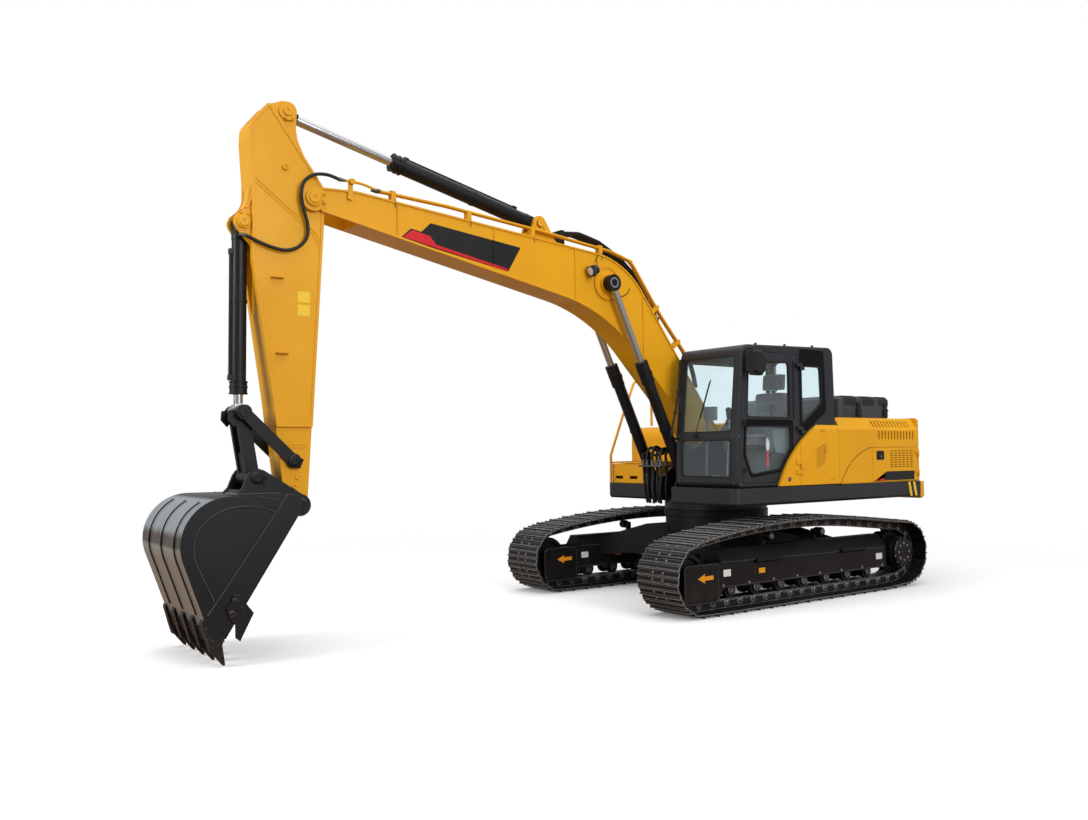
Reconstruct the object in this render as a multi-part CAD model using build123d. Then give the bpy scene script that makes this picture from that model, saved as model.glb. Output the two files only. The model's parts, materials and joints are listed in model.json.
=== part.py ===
"""Crawler excavator of about 21.5 tonnes, built piece by piece.

Machine coordinates, in millimetres: +X forward along the boom, +Y to the cab side, +Z up.
The swing axis is x = 0, y = 0 and the ground is z = 0. Every piece is moved by -ORIGIN_X
when it is written, so the origin of the files is the middle of the whole machine's base.
"""

import os
from math import cos, hypot, pi, radians, sin

from build123d import *

# ---------------------------------------------------------------- driving dimensions
ORIGIN_X = 1975.0  # middle of the machine's length, forward of the swing axis

# tracks
GAUGE = 2400.0
SHOE_WIDTH = 600.0
SHOES = 46
IDLER = (1760.0, 400.0)  # x, z of the front idler's axle
SPROCKET = (-1840.0, 425.0)  # x, z of the drive sprocket's axle
GROUSER = 26.0  # height of the ribs on a shoe
PLATE = 12.0  # thickness of a shoe
LINK = 95.0  # depth of the chain inside the shoes
SAG = 25.0  # how much tighter the shoes turn round the sprocket than its axle's height gives
TRACK_CROWN = 905.0  # height of the top run over the carrier rollers
CHAIN_HALF = 95.0
FRAME_HALF = 150.0  # half the width of a track frame
FRAME_REAR, FRAME_FRONT = -1560.0, 1335.0
CARRIERS = (-450.0, 450.0)  # x of the carrier rollers
BOTTOM_ROLLERS = [-1230.0 + 400.0 * i for i in range(7)]
STEPS = ((-1100.0, -645.0), (413.0, 835.0))  # x rear, x front of the steps on a track frame

# upper structure
DECK_BOTTOM, DECK_TOP = 1100.0, 1290.0
DECK_HALF = 1360.0
DECK_FRONT_LEFT, DECK_FRONT_RIGHT = 1110.0, 622.0
TAIL_X = -2715.0  # rear of the counterweight
TAIL_JOINT_X = -2335.0  # where the side panels end and the counterweight begins
SHOULDER = 2087.0  # top of the side panels
SLOPE_START = 1940.0  # where a side panel starts to lean in
SHOULDER_EDGE = 1240.0  # y where the lean ends
SIDE = 1340.0  # outside of the side panels
WALL = 30.0  # thickness of a side panel
KNUCKLE = 12.0  # radius of a hinge's barrel
WEB_IN, WEB_OUT = 186.0, 218.0  # the two plates that hold the boom's foot

# cab
CAB_REAR, CAB_FRONT = -735.0, 1011.0
CAB_RIGHT, CAB_LEFT = 342.0, 1296.0
CAB_FLOOR, CAB_ROOF = 1296.0, 2914.0
CAB_WALL = 45.0
DOOR_HINGE = (-45.0, 1330.0)  # x, y of the cab door's hinge
BELT = 2020.0  # middle of the bar between the door's two windows

# pins of the working gear, as (x, z)
BOOM_FOOT = (180.0, 1779.0)
BOOM_TIP = (5382.0, 4063.0)
LIFT_FOOT = (780.0, 1315.0)  # boom cylinder's foot, on the frame
LIFT_EYE = (1875.0, 3600.0)  # boom cylinder's rod eye, on the boom
CROWD_FOOT = (2755.0, 4190.0)  # arm cylinder's foot, on the boom
CROWD_EYE = (5602.0, 4843.0)  # arm cylinder's rod eye, on the arm
ARM_TIP = (5515.0, 1258.0)  # bucket's pin in the arm
CURL_FOOT = (6003.0, 3776.0)  # bucket cylinder's foot, on the arm
ROCKER = (5558.0, 1656.0)  # rocker links' pin in the arm
LINK_TOP = (6009.0, 2087.0)  # where rod eye, rockers and push link meet
LINK_LOW = (5911.0, 1513.0)  # push link's pin in the bucket

BOOM_HALF = 180.0
LIFT_Y = 262.0  # boom cylinders' distance from the middle
ARM_HALF = 150.0
ARM_END_HALF = 126.0  # half the arm's width between the rocker links
BUCKET_HALF = 585.0
BUCKET_WALL = 26.0
FIT = 0.05  # clearance of a pin in its bore

PARTS = {}


# ---------------------------------------------------------------- small helpers
def side_plane(y):
    """A plane to draw on in (x, z), whose extrusions run towards -Y from y."""
    return Plane(origin=(0, y, 0), x_dir=(1, 0, 0), z_dir=(0, -1, 0))


def outline(points, rounds=None):
    """A face from corner points, with the corners in rounds, {index: radius}, rounded."""
    face = make_face(Polyline(*points, close=True))
    by_radius = {}
    for index, radius in (rounds or {}).items():
        by_radius.setdefault(radius, []).append(points[index])
    for radius, corners in by_radius.items():
        picked = [
            v for v in face.vertices() if any(hypot(v.X - a, v.Y - b) < 0.5 for a, b in corners)
        ]
        face = fillet(picked, radius)
    return face


def sheet(face, y0, y1):
    """An (x, z) face made into a plate between y0 and y1."""
    return extrude(side_plane(max(y0, y1)) * face, abs(y1 - y0))


def plate(points, y0, y1, rounds=None):
    """A flat plate from an (x, z) outline between y0 and y1."""
    return sheet(outline(points, rounds), y0, y1)


def drum(pin, radius, y0, y1):
    """A cylinder along Y about a pin's (x, z)."""
    return sheet(Pos(*pin) * Circle(radius), y0, y1)


def block(x0, x1, y0, y1, z0, z1, edge=0.0, axis=Axis.Z):
    """A box between two corners, its edges along one axis rounded when edge is given."""
    body = Pos((x0 + x1) / 2, (y0 + y1) / 2, (z0 + z1) / 2) * Box(
        abs(x1 - x0), abs(y1 - y0), abs(z1 - z0)
    )
    return fillet(body.edges().filter_by(axis), edge) if edge else body


def beam(section, x0, x1):
    """A bar along X from its (y, z) section."""
    face = make_face(Polyline(*[(x0, y, z) for y, z in section], close=True))
    return extrude(face, amount=x1 - x0, dir=(1, 0, 0))


def turned(pin, middle, side, profile):
    """A body turned about a pin's axis from (distance outwards, radius) points."""
    at = (pin[0], middle, pin[1])
    half = make_face(Polyline(*profile, close=True))
    return revolve(Plane(origin=at, x_dir=(0, side, 0), z_dir=(1, 0, 0)) * half, Axis(at, (0, 1, 0)))


def mirrored(half):
    """A turned profile's points on both sides of the middle, from those on one side."""
    return [(-y, r) for y, r in reversed(half)] + half


def upright(x, y, radius, z0, z1):
    """A round bar that stands upright."""
    return Pos(x, y, (z0 + z1) / 2) * Cylinder(radius, z1 - z0)


def between(a, b, radius):
    """A round bar between two points in space."""
    start, end = Vector(*a), Vector(*b)
    axis = end - start
    return extrude(Plane(origin=start, z_dir=axis) * Circle(radius), axis.length)


def rod(a, b, radius, y=0.0):
    """A round bar between two (x, z) points at one y."""
    return between((a[0], y, a[1]), (b[0], y, b[1]), radius)


def pipe(points, radius, bend):
    """A round pipe, hose or rail along corner points, with bends of one radius or a list."""
    path = FilletPolyline(*points, radius=bend)
    return sweep(Plane(origin=path @ 0, z_dir=path % 0) * Circle(radius), path)


def both(piece):
    """A piece and its mirror image across the middle."""
    return piece + mirror(piece, Plane.XZ)


def along(a, b, distance, off=0.0):
    """The point a distance from a towards b, moved off to the left of that line."""
    length = hypot(b[0] - a[0], b[1] - a[1])
    ux, uz = (b[0] - a[0]) / length, (b[1] - a[1]) / length
    return (a[0] + ux * distance - uz * off, a[1] + uz * distance + ux * off)


def strap(a, b, half, y0, y1):
    """A straight plate from a to b, square at its ends."""
    corners = [along(a, b, 0, half), along(a, b, 0, -half), along(b, a, 0, half), along(b, a, 0, -half)]
    return plate(corners, y0, y1)


def link_plate(a, b, half, y0, y1):
    """A link plate with round ends about two pins."""
    return strap(a, b, half, y0, y1) + drum(a, half, y0, y1) + drum(b, half, y0, y1)


def all_of(pieces):
    """The pieces of a list added together."""
    body = None
    for piece in pieces:
        body = piece if body is None else body + piece
    return body


def save(name, piece):
    """Keep a finished piece under its node's name."""
    PARTS[name] = piece


# ---------------------------------------------------------------- tracks
def track_path():
    """The closed line along the shoes' inner faces."""
    ground = GROUSER + PLATE
    front = IDLER[1] - ground
    back = SPROCKET[1] - ground - SAG
    front_top = (IDLER[0] + front * cos(radians(76)), IDLER[1] + front * sin(radians(76)))
    rear_top = (SPROCKET[0] - back * cos(radians(75)), SPROCKET[1] + back * sin(radians(75)))
    front_low, rear_low = (IDLER[0] - 60, ground), (SPROCKET[0] - 40, SPROCKET[1] - back)
    rear_ground, rear_carrier = (-1450, ground), (-900, TRACK_CROWN - 30)
    return Wire(
        [
            Line(rear_ground, front_low),
            ThreePointArc(front_low, (IDLER[0] + front, IDLER[1]), front_top),
            ThreePointArc(front_top, (0, TRACK_CROWN + 10), rear_carrier),
            Line(rear_carrier, rear_top),
            ThreePointArc(rear_top, (SPROCKET[0] - back, SPROCKET[1]), rear_low),
            Line(rear_low, rear_ground),
        ]
    )


def shoe_outline(hinges):
    """The shoes' outer line round the hinge points: a plate with three ribs for each shoe."""
    ribs = [(-72, 10), (0, 0), (72, 10)]  # place along the shoe, how much lower than the full rib
    points = []
    for a, b in zip(hinges, hinges[1:] + hinges[:1]):
        middle = hypot(b[0] - a[0], b[1] - a[1]) / 2
        points.append(along(a, b, 3, -PLATE))
        for place, low in ribs:
            at = middle + place
            points += [along(a, b, at - 13, -PLATE), along(a, b, at, low - PLATE - GROUSER)]
            points.append(along(a, b, at + 13, -PLATE))
        points.append(along(b, a, 3, PLATE))
    return points


def inward(hinges, depth):
    """The ring of hinge points moved inwards by a depth."""
    ring = []
    for before, here, after in zip(hinges[-1:] + hinges[:-1], hinges, hinges[1:] + hinges[:1]):
        length = hypot(after[0] - before[0], after[1] - before[1])
        tx, tz = (after[0] - before[0]) / length, (after[1] - before[1]) / length
        ring.append((here[0] - tz * depth, here[1] + tx * depth))
    return ring


def track(side):
    """One track: a loop of ribbed shoes on a narrower chain."""
    path = track_path()
    hinges = [((path @ (i / SHOES)).X, (path @ (i / SHOES)).Y) for i in range(SHOES)]
    middle, half = side * GAUGE / 2, SHOE_WIDTH / 2
    loop = plate(shoe_outline(hinges), middle - half, middle + half)
    loop -= plate(hinges, middle - half - 1, middle + half + 1)
    chain = plate(inward(hinges, -1), middle - CHAIN_HALF, middle + CHAIN_HALF)
    chain -= plate(inward(hinges, LINK), middle - CHAIN_HALF - 1, middle + CHAIN_HALF + 1)
    return loop + chain


def track_frame(side):
    """The long box of one side, with the idler's fork, the drive's flange and two steps."""
    middle = side * GAUGE / 2

    def out(distance):
        return middle + side * distance

    section = [  # distance outwards, height
        (-FRAME_HALF, 258), (-FRAME_HALF, 600), (-70, 650), (50, 650), (FRAME_HALF, 512),
        (FRAME_HALF, 258), (126, 258), (126, 332), (-126, 332), (-126, 258),
    ]
    body = beam([(out(y), z) for y, z in section], FRAME_REAR, FRAME_FRONT)
    fork = [(1290, 300), (1400, 115), (1885, 115), (1885, 530), (1290, 530)]
    for near, far in ((118, 148), (-148, -118)):
        cheek = plate(fork, out(near), out(far), {1: 60, 2: 40, 3: 60})
        body += cheek - drum(IDLER, 45.3, out(near - 5), out(far + 5))
    flange = drum(SPROCKET, 232, out(-150), out(-120))
    flange += plate([(-1720, 270), (-1530, 300), (-1530, 590), (-1720, 570)], out(-150), out(-120))
    body += flange - drum(SPROCKET, 190.3, out(-160), out(-110))
    for x in CARRIERS:
        body += block(x - 30, x + 30, out(-80), out(-42), 630, 775)
    tread = [(140, 478), (205, 506), (205, 538), (192, 538), (150, 514), (140, 514)]
    for x0, x1 in STEPS:
        body += beam([(out(y), z) for y, z in tread], x0, x1)
    return body


def rollers(side):
    """Bottom rollers, carrier rollers and the idler of one side, each on its own axle."""
    middle = side * GAUGE / 2
    bottom = [(60, 70), (60, 85), (104, 85), (104, 56), (123, 56), (123, 0)]
    wheels = [turned((x, 225), middle, side, mirrored(bottom)) for x in BOTTOM_ROLLERS]
    carrier = [(-38, 0), (-38, 44), (-20, 50), (60, 50), (74, 40), (74, 0)]
    wheels += [turned((x, 745), middle, side, carrier) for x in CARRIERS]
    rim = [
        (38, 251), (38, 236), (70, 236), (70, 200), (30, 190), (30, 90), (112, 90), (112, 45),
        (146, 45), (146, 0),
    ]
    wheels.append(turned(IDLER, middle, side, mirrored(rim)))
    return all_of(wheels)


def final_drive(side):
    """Toothed drive sprocket with the round motor case through it."""
    middle = side * GAUGE / 2
    teeth, root, tip = 21, 222.0, 252.0
    points = []
    for i in range(teeth):
        for share, radius in ((-0.34, root), (-0.13, tip), (0.13, tip), (0.34, root)):
            turn = 2 * pi * (i + share) / teeth
            points.append((SPROCKET[0] + radius * cos(turn), SPROCKET[1] + radius * sin(turn)))
    case = [
        (-200, 0), (-200, 150), (-150, 165), (-150, 190), (40, 190), (150, 188), (150, 176),
        (205, 176), (222, 158), (222, 60), (228, 52), (228, 0),
    ]
    return plate(points, middle - 30, middle + 30) + turned(SPROCKET, middle, side, case)


def undercarriage_frame():
    """The centre frame: a round tower for the slew ring and four legs to the track frames."""
    reach = GAUGE / 2 - FRAME_HALF - 0.5
    tower = upright(0, 0, 620, 675, 905) + block(-560, 560, -560, 560, 470, 690, 120)
    fall = [(450, 830), (reach, 620), (reach, 900), (450, 900)]  # the legs' tops slope outwards
    rise = [(450, 380), (700, 430), (reach, 395), (reach, 300), (450, 300)]  # and their undersides
    leg_plan = [(430, 150), (1000, reach), (620, reach), (60, 500)]
    leg = extrude(Pos(0, 0, 360) * make_face(Polyline(*leg_plan, close=True)), 440)
    leg -= beam(fall, 0, 1100) + beam(rise, 0, 1100)
    leg += mirror(leg, Plane.YZ)
    body = tower + both(leg)
    return body - upright(0, 0, 500, 600, 920) - upright(0, 0, 300, 400, 700)


def slew_ring():
    """The slew ring's outer race, bolted on the tower."""
    return upright(0, 0, 640, 910, 990) - upright(0, 0, 520, 900, 1000)


# ---------------------------------------------------------------- upper structure
def deck_slab():
    """The deck plate with its skirt round it, open below."""
    rim = [
        (DECK_FRONT_LEFT, DECK_HALF), (DECK_FRONT_LEFT, 345), (560, 345), (560, -400),
        (DECK_FRONT_RIGHT, -400), (DECK_FRONT_RIGHT, -DECK_HALF), (TAIL_JOINT_X, -DECK_HALF),
        (TAIL_JOINT_X, DECK_HALF),
    ]
    face = outline(rim, {0: 90, 1: 40, 5: 90})
    slab = extrude(Pos(0, 0, DECK_BOTTOM) * face, DECK_TOP - DECK_BOTTOM)
    slab = chamfer(slab.edges().group_by(Axis.Z)[0], 24)
    room = extrude(Pos(0, 0, DECK_BOTTOM - 1) * offset(face, -32, kind=Kind.INTERSECTION), 176)
    return slab - room


def deck():
    """The revolving frame: skirted deck, the plates that hold the boom, and the slew race."""
    race = upright(0, 0, 630, 995, 1098) + upright(0, 0, 665, 1094, 1124)
    race -= upright(0, 0, 500, 990, 1130)
    web = [
        (-2320, 1105), (855, 1105), (885, 1320), (830, 1395), (700, 1395), (560, 1500),
        (350, 1880), (180, 1930), (20, 1860), (-300, 1420), (-740, 1285), (-2320, 1285),
    ]
    cheek = plate(web, WEB_IN, WEB_OUT, {2: 60, 3: 50, 5: 120, 6: 90, 7: 120, 8: 90, 9: 200})
    ear = [(530, 1130), (860, 1130), (885, 1300), (830, 1395), (700, 1395), (530, 1280)]
    ear = plate(ear, 308, 334, {2: 60, 3: 50, 4: 60})
    body = deck_slab() - block(-60, 1200, -WEB_IN, WEB_IN, 1105, DECK_TOP + 5)
    for x0, x1 in ((-1750, -1720), (-1020, -990), (-760, -730), (520, 556)):
        body += block(x0, x1, -1335, 1335, 1115, DECK_TOP - 5)
    body += both(cheek) + both(ear) + race
    body += both(block(545, 600, WEB_OUT - 2, 310, 1115, 1220))
    floor = block(-720, 530, -430, 430, 1100, 1116)
    body += floor - upright(0, 0, 420, 1090, 1130)
    body -= block(-60, 519, -WEB_IN, WEB_IN, 1117, DECK_TOP + 5)
    body -= both(drum(BOOM_FOOT, 55 + FIT, WEB_IN - 5, WEB_OUT + 5))
    return body - both(drum(LIFT_FOOT, 45 + FIT, WEB_IN - 5, 345))


def frame_pins():
    """The pins of the boom's foot and of the two boom cylinders' feet."""
    foot = drum(BOOM_FOOT, 55, -232, 232) + both(drum(BOOM_FOOT, 78, WEB_OUT + 0.5, 240))
    return foot + both(drum(LIFT_FOOT, 45, WEB_IN, 338))


def tail_plan(inset):
    """The counterweight's plan, rounded at the back, with an inset from its widest outline."""
    half, corner, back = SIDE + 12 - inset, -2470 + inset, TAIL_X + inset
    front = TAIL_JOINT_X - 4
    face = make_face(
        [
            Line((front, -half), (front, half)),
            Line((front, half), (corner, half)),
            ThreePointArc((corner, half), (back, 0), (corner, -half)),
            Line((corner, -half), (front, -half)),
        ]
    )
    corners = [v for v in face.vertices() if v.X < front - 50]
    return fillet(corners, 110)


def counterweight():
    """The cast tail weight: a low lip, a tall rounded body and two lifting eyes."""
    lip = extrude(Pos(0, 0, 1067) * tail_plan(0), 1280 - 1067)
    lip = chamfer(lip.edges().group_by(Axis.Z)[0], 30)
    body = extrude(Pos(0, 0, 1279) * tail_plan(38), SHOULDER + 8 - 1279)
    rim = [e for e in body.edges().group_by(Axis.Z)[-1] if e.center().X < TAIL_JOINT_X - 20]
    body = chamfer(rim, 25)
    groove = extrude(Pos(0, 0, 1714) * tail_plan(30), 12) - extrude(Pos(0, 0, 1713) * tail_plan(46), 14)
    body = lip + body - groove
    for y in (-430, 430):
        eye = plate([(-2600, 2080), (-2440, 2080), (-2470, 2200), (-2570, 2200)], y - 20, y + 20, {2: 45, 3: 45})
        body += eye - drum((-2520, 2150), 28, y - 30, y + 30)
    return body


def engine():
    """The engine with its pumps, as one block under the hood."""
    return block(-2150, -1500, -600, 500, 1330, 1950, 40)


# ---------------------------------------------------------------- body panels
RADIATOR_DOOR = (-2310.0, -1355.0, 1304.0, 1722.0)  # x rear, x front, z low, z high
PUMP_DOOR = (-2310.0, -1292.0, 1304.0, 1925.0)
FENDER_FRONT = 371.0
FENDER_SEAM = 0.0  # where the fender's fixed tip ends and its door begins
FENDER_REAR = -700.0
FENDER_TOP = 1996.0
SEAM = 4.0  # gap round a panel


def slope_room(x0, x1):
    """The space outside the left shoulder's lean, for trimming what stands under it."""
    return beam([(SIDE + 60, SLOPE_START - 88), (SIDE, SLOPE_START), (SHOULDER_EDGE, SHOULDER), (SIDE + 60, SHOULDER)], x0, x1)


def panel_section(side, inner):
    """Section of a side panel: upright wall, lean-in and the flat towards the hood."""
    return [
        (side * SIDE, DECK_TOP + 4), (side * SIDE, SLOPE_START), (side * SHOULDER_EDGE, SHOULDER),
        (side * inner, SHOULDER), (side * inner, SHOULDER - 24), (side * (SHOULDER_EDGE - 14), SHOULDER - 24),
        (side * (SIDE - WALL), SLOPE_START - 12), (side * (SIDE - WALL), DECK_TOP + 4),
    ]


def opening(side, door):
    """The hole that a side door closes, with a seam round it."""
    x0, x1, z0, z1 = door
    return block(x0 - SEAM, x1 + SEAM, side * (SIDE - 50), side * (SIDE + 10), z0 - SEAM, z1 + SEAM)


def louvres(x0, x1, count, y0, y1, z0, z1, width):
    """A row of upright slots to cut."""
    pitch = (x1 - x0) / (count - 1)
    return all_of(
        [block(x0 + i * pitch - width / 2, x0 + i * pitch + width / 2, y0, y1, z0, z1) for i in range(count)]
    )


def leaf(x, y, reach, z0, z1):
    """One hinge leaf with its barrel on the axis at (x, y), reaching along x onto a panel."""
    inside = y - 16 if y > 0 else y + 16
    return upright(x, y, KNUCKLE, z0, z1) + block(x, x + reach, inside, y, z0, z1)


def fender_face(x0, x1, low):
    """The fender's side outline between two x, under its arc."""
    top = make_face(
        [
            ThreePointArc((FENDER_FRONT, low), (25, 1761), (-614, 2090)),
            Line((-614, 2090), (-900, 2090)),
            Line((-900, 2090), (-900, low)),
            Line((-900, low), (FENDER_FRONT, low)),
        ]
    )
    keep = Pos((x0 + x1) / 2, (low + FENDER_TOP) / 2) * Rectangle(x1 - x0, FENDER_TOP - low)
    return top & keep


def fender_panel(x0, x1):
    """A piece of the fender beside the cab."""
    body = sheet(fender_face(x0, x1, DECK_TOP + 10), SIDE - 36, SIDE)
    return body - slope_room(x0 - 10, x1 + 10)


FENDER_HINGE = (FENDER_SEAM + 2, SIDE + 14.0)
RADIATOR_HINGE = (RADIATOR_DOOR[0] - 4, SIDE + 14.0)
PUMP_HINGE = (PUMP_DOOR[1] + 4, -SIDE - 14.0)
FENDER_LEAVES = ((1430, 1478), (1482, 1538), (1542, 1590))  # fixed, door, fixed
TWO_HINGES = (((1350, 1388), (1392, 1430)), ((1600, 1638), (1642, 1680)))  # (fixed, door) twice


def side_shell_left():
    """Left side panel with its louvres, and the fixed tip of the fender."""
    body = beam(panel_section(1, 925), TAIL_JOINT_X, CAB_REAR - 10) - opening(1, RADIATOR_DOOR)
    body -= louvres(-2220, -1500, 12, SIDE - 50, SIDE + 10, 1822, 1922, 26)
    body -= louvres(-2170, -1430, 12, SHOULDER_EDGE - 30, SIDE + 10, 1968, 2052, 26)
    for fixed, moving in TWO_HINGES:
        body += leaf(*RADIATOR_HINGE, -18, *fixed)
    tip = fender_panel(FENDER_SEAM + 5, FENDER_FRONT)
    for z0, z1 in FENDER_LEAVES[::2]:
        tip += leaf(*FENDER_HINGE, 85, z0, z1)
    rear = fender_panel(CAB_REAR - 11, FENDER_REAR - SEAM)
    return body + rear + tip


def side_shell_right():
    """Right side panel behind the tanks."""
    body = beam(panel_section(-1, 690), TAIL_JOINT_X, -1250) - opening(-1, PUMP_DOOR)
    for fixed, moving in TWO_HINGES:
        body += leaf(*PUMP_HINGE, 30, *fixed)
    for x0, x1 in HOOD_FIXED:
        body += hood_knuckle(x0, x1) + block(x0, x1, HOOD_HINGE[0] - 30, HOOD_HINGE[0], SHOULDER - 4, HOOD_HINGE[1])
    return body


def bulkhead():
    """The wall behind the boom's foot and the flat cover between cab, tanks and hood."""
    wall = block(-790, -766, -372, 336, DECK_TOP + 4, SHOULDER)
    return wall + block(-1240, -766, -372, 917, SHOULDER - 24, SHOULDER)


def radiator_door():
    """The left rear door, with rows of short slots for air."""
    x0, x1, z0, z1 = RADIATOR_DOOR
    body = block(x0, x1, SIDE - WALL, SIDE, z0, z1, 14, Axis.Y)
    for row in range(8):
        z = 1474 + row * 28.0
        body -= all_of([block(x, x + 62, SIDE - 40, SIDE + 10, z, z + 10) for x in range(-2210, -1710, 84)])
    for fixed, moving in TWO_HINGES:
        body += leaf(*RADIATOR_HINGE, 60, *moving)
    return body


def fender_door():
    """The door in the fender beside the cab."""
    return fender_panel(FENDER_REAR, FENDER_SEAM) + leaf(*FENDER_HINGE, -85, *FENDER_LEAVES[1])


def pump_door():
    """The right rear door in front of the pumps."""
    x0, x1, z0, z1 = PUMP_DOOR
    body = block(x0, x1, -SIDE, WALL - SIDE, z0, z1, 14, Axis.Y)
    body -= louvres(-2200, -1900, 6, -SIDE - 10, -SIDE + 50, 1700, 1850, 26)
    for fixed, moving in TWO_HINGES:
        body += leaf(*PUMP_HINGE, -60, *moving)
    return body


HOOD = (-2310.0, -1250.0, -690.0, 950.0, 2096.0, 2380.0)  # x, x, y, y, z, z
HOOD_HINGE = (-714.0, 2112.0)  # y, z
HOOD_FIXED = ((-2150, -2112), (-1450, -1412))
HOOD_MOVING = ((-2108, -2070), (-1408, -1370))


def hood_knuckle(x0, x1):
    """A hinge barrel along the hood's right edge."""
    return between((x0, *HOOD_HINGE), (x1, *HOOD_HINGE), KNUCKLE)


def hood():
    """The engine hood: a shallow tray upside down with rounded edges and three louvre groups."""
    x0, x1, y0, y1, z0, z1 = HOOD
    body = block(x0, x1, y0, y1, z0, z1, 70)
    body = chamfer(body.edges().group_by(Axis.Z)[-1], 42)
    body -= block(x0 + 24, x1 - 24, y0 + 24, y1 - 24, z0 - 10, z1 - 44)
    for start in (-2230, -1930, -1630):
        body -= louvres(start, start + 200, 6, y1 - 60, y1 - 20, z1 - 46, z1 + 10, 18)
    for a, b in HOOD_MOVING:
        body += hood_knuckle(a, b) + block(a, b, HOOD_HINGE[0], y0 + 6, 2100, 2124)
    return body


def tank():
    """Hydraulic tank and, in front of it, the fuel tank with its rounded front."""
    rear = plate([(-1240, 1294), (-560, 1294), (-560, 2040), (-1240, 2040)], -1335, -378, {2: 30, 3: 30})
    front = plate([(-550, 1294), (195, 1294), (195, 2018), (-550, 2040)], -1335, -378, {2: 170, 3: 30})
    filler = upright(-330, -1120, 55, 2025, 2085) + upright(-330, -1120, 42, 2084, 2100)
    return rear + front + filler


LID_HINGE = (216.0, 1558.0)  # x, z
LID_FIXED = ((-1200, -1150), (-650, -600))
LID_MOVING = ((-1146, -1096), (-596, -546))


def toolbox():
    """The low box in front of the tanks, with three slots in its front."""
    body = block(205, 560, -1335, -430, DECK_TOP + 4, 1540, 30)
    body -= block(229, 536, -1311, -454, DECK_TOP + 24, 1600)
    for y in (-1180, -900, -620):
        body -= block(520, 580, y - 75, y + 75, 1345, 1385)
    for y0, y1 in LID_FIXED:
        body += lid_knuckle(y0, y1) + block(LID_HINGE[0], 225, y0, y1, 1520, LID_HINGE[1])
    return body


def lid_knuckle(y0, y1):
    """A hinge barrel of the toolbox's lid."""
    return drum(LID_HINGE, KNUCKLE, y0, y1)


def toolbox_lid():
    """The toolbox's lid, hinged along its rear edge."""
    body = block(232, 566, -1341, -424, 1546, 1570, 24)
    for y0, y1 in LID_MOVING:
        body += lid_knuckle(y0, y1) + block(LID_HINGE[0], 240, y0, y1, 1550, 1566)
    return body


def handrail():
    """The bent grab rail at the front right corner."""
    y = -1310
    route = [(590, y, 1299), (590, y, 1660), (375, y, 2173), (158, y, 2649), (-150, y, 2649), (-150, y, 2045)]
    return pipe(route, 17, 70) + upright(590, y, 26, 1294, 1304)


# ---------------------------------------------------------------- cab
CAB_SIDE = [  # x, z round the cab's side
    (CAB_REAR, CAB_FLOOR), (CAB_FRONT, CAB_FLOOR), (CAB_FRONT - 6, 1840), (900, CAB_ROOF - 42),
    (CAB_REAR + 50, CAB_ROOF),
]
DOOR = [  # x, z round the door
    (388, 1345), (940, 1345), (948, 1700), (930, 2150), (868, 2800), (-38, 2800), (-38, 1822), (203, 1592),
]
UPPER_WINDOW = [(118, BELT + 42), (850, BELT + 42), (812, 2705), (118, 2705)]
LOWER_WINDOW = [(92, BELT - 42), (92, 1735), (292, 1480), (790, 1430), (888, 1650), (865, BELT - 42)]
QUARTER_WINDOW = [(-84, 1985), (-84, 2680), (-450, 2680), (-470, 2250)]
RIGHT_WINDOW = [(-600, 2060), (860, 1700), (900, 1900), (820, 2740), (-600, 2740)]
FRONT_PANES = ((1405, 1830), (1905, 2765))  # z low, z high
REAR_PANE = (2140, 2790)


def cab_face(inset):
    """The cab's side outline moved inwards by an inset."""
    face = outline(CAB_SIDE, {0: 40, 1: 60, 2: 800, 3: 110, 4: 90})
    return offset(face, -inset, kind=Kind.INTERSECTION) if inset else face


def end_window(x0, x1, z0, z1, gap=0.0):
    """The block that cuts, or fills, a window across the front or the rear."""
    y0, y1 = CAB_RIGHT + 84 + gap, CAB_LEFT - 92 - gap
    return block(x0, x1, y0, y1, z0 + gap, z1 - gap, 50, Axis.X)


def cab_shell():
    """The cab's frame: a hollow box with its windows and doorway cut."""
    outer = sheet(cab_face(0), CAB_RIGHT, CAB_LEFT)
    outer = chamfer(outer.faces().filter_by(Axis.Y).edges(), 16)
    body = outer - sheet(cab_face(CAB_WALL), CAB_RIGHT + CAB_WALL, CAB_LEFT - CAB_WALL)
    for z0, z1 in FRONT_PANES:
        body -= end_window(750, 1100, z0, z1)
    body -= end_window(CAB_REAR - 60, CAB_REAR + 160, *REAR_PANE)
    body -= plate(QUARTER_WINDOW, CAB_LEFT - 70, CAB_LEFT + 10, {0: 40, 1: 50, 2: 50, 3: 50})
    body -= plate(RIGHT_WINDOW, CAB_RIGHT - 10, CAB_RIGHT + 70, {0: 50, 1: 50, 3: 50, 4: 50})
    body -= sheet(offset(outline(DOOR, {1: 60, 4: 50, 5: 50}), 6), CAB_LEFT - 70, CAB_LEFT + 10)
    x, y = DOOR_HINGE
    for z0, z1 in ((1890, 1928), (2620, 2658)):
        body += upright(x, y, KNUCKLE, z0, z1) + block(x - 60, x, CAB_LEFT - 5, y + 6, z0, z1)
    return body


def cab_door():
    """The cab's side door with its two windows, hinged at the rear."""
    body = plate(DOOR, CAB_LEFT - 42, CAB_LEFT - 2, {1: 60, 4: 50, 5: 50})
    body -= plate(UPPER_WINDOW, CAB_LEFT - 50, CAB_LEFT + 10, {0: 40, 1: 40, 2: 60, 3: 60})
    body -= plate(LOWER_WINDOW, CAB_LEFT - 50, CAB_LEFT + 10, {0: 30, 1: 60, 2: 60, 3: 60, 5: 30})
    x, y = DOOR_HINGE
    for z0, z1 in ((1932, 1970), (2662, 2700)):
        body += upright(x, y, KNUCKLE, z0, z1) + block(x + 8, x + 70, CAB_LEFT - 6, y + 6, z0, z1)
    return body


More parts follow.
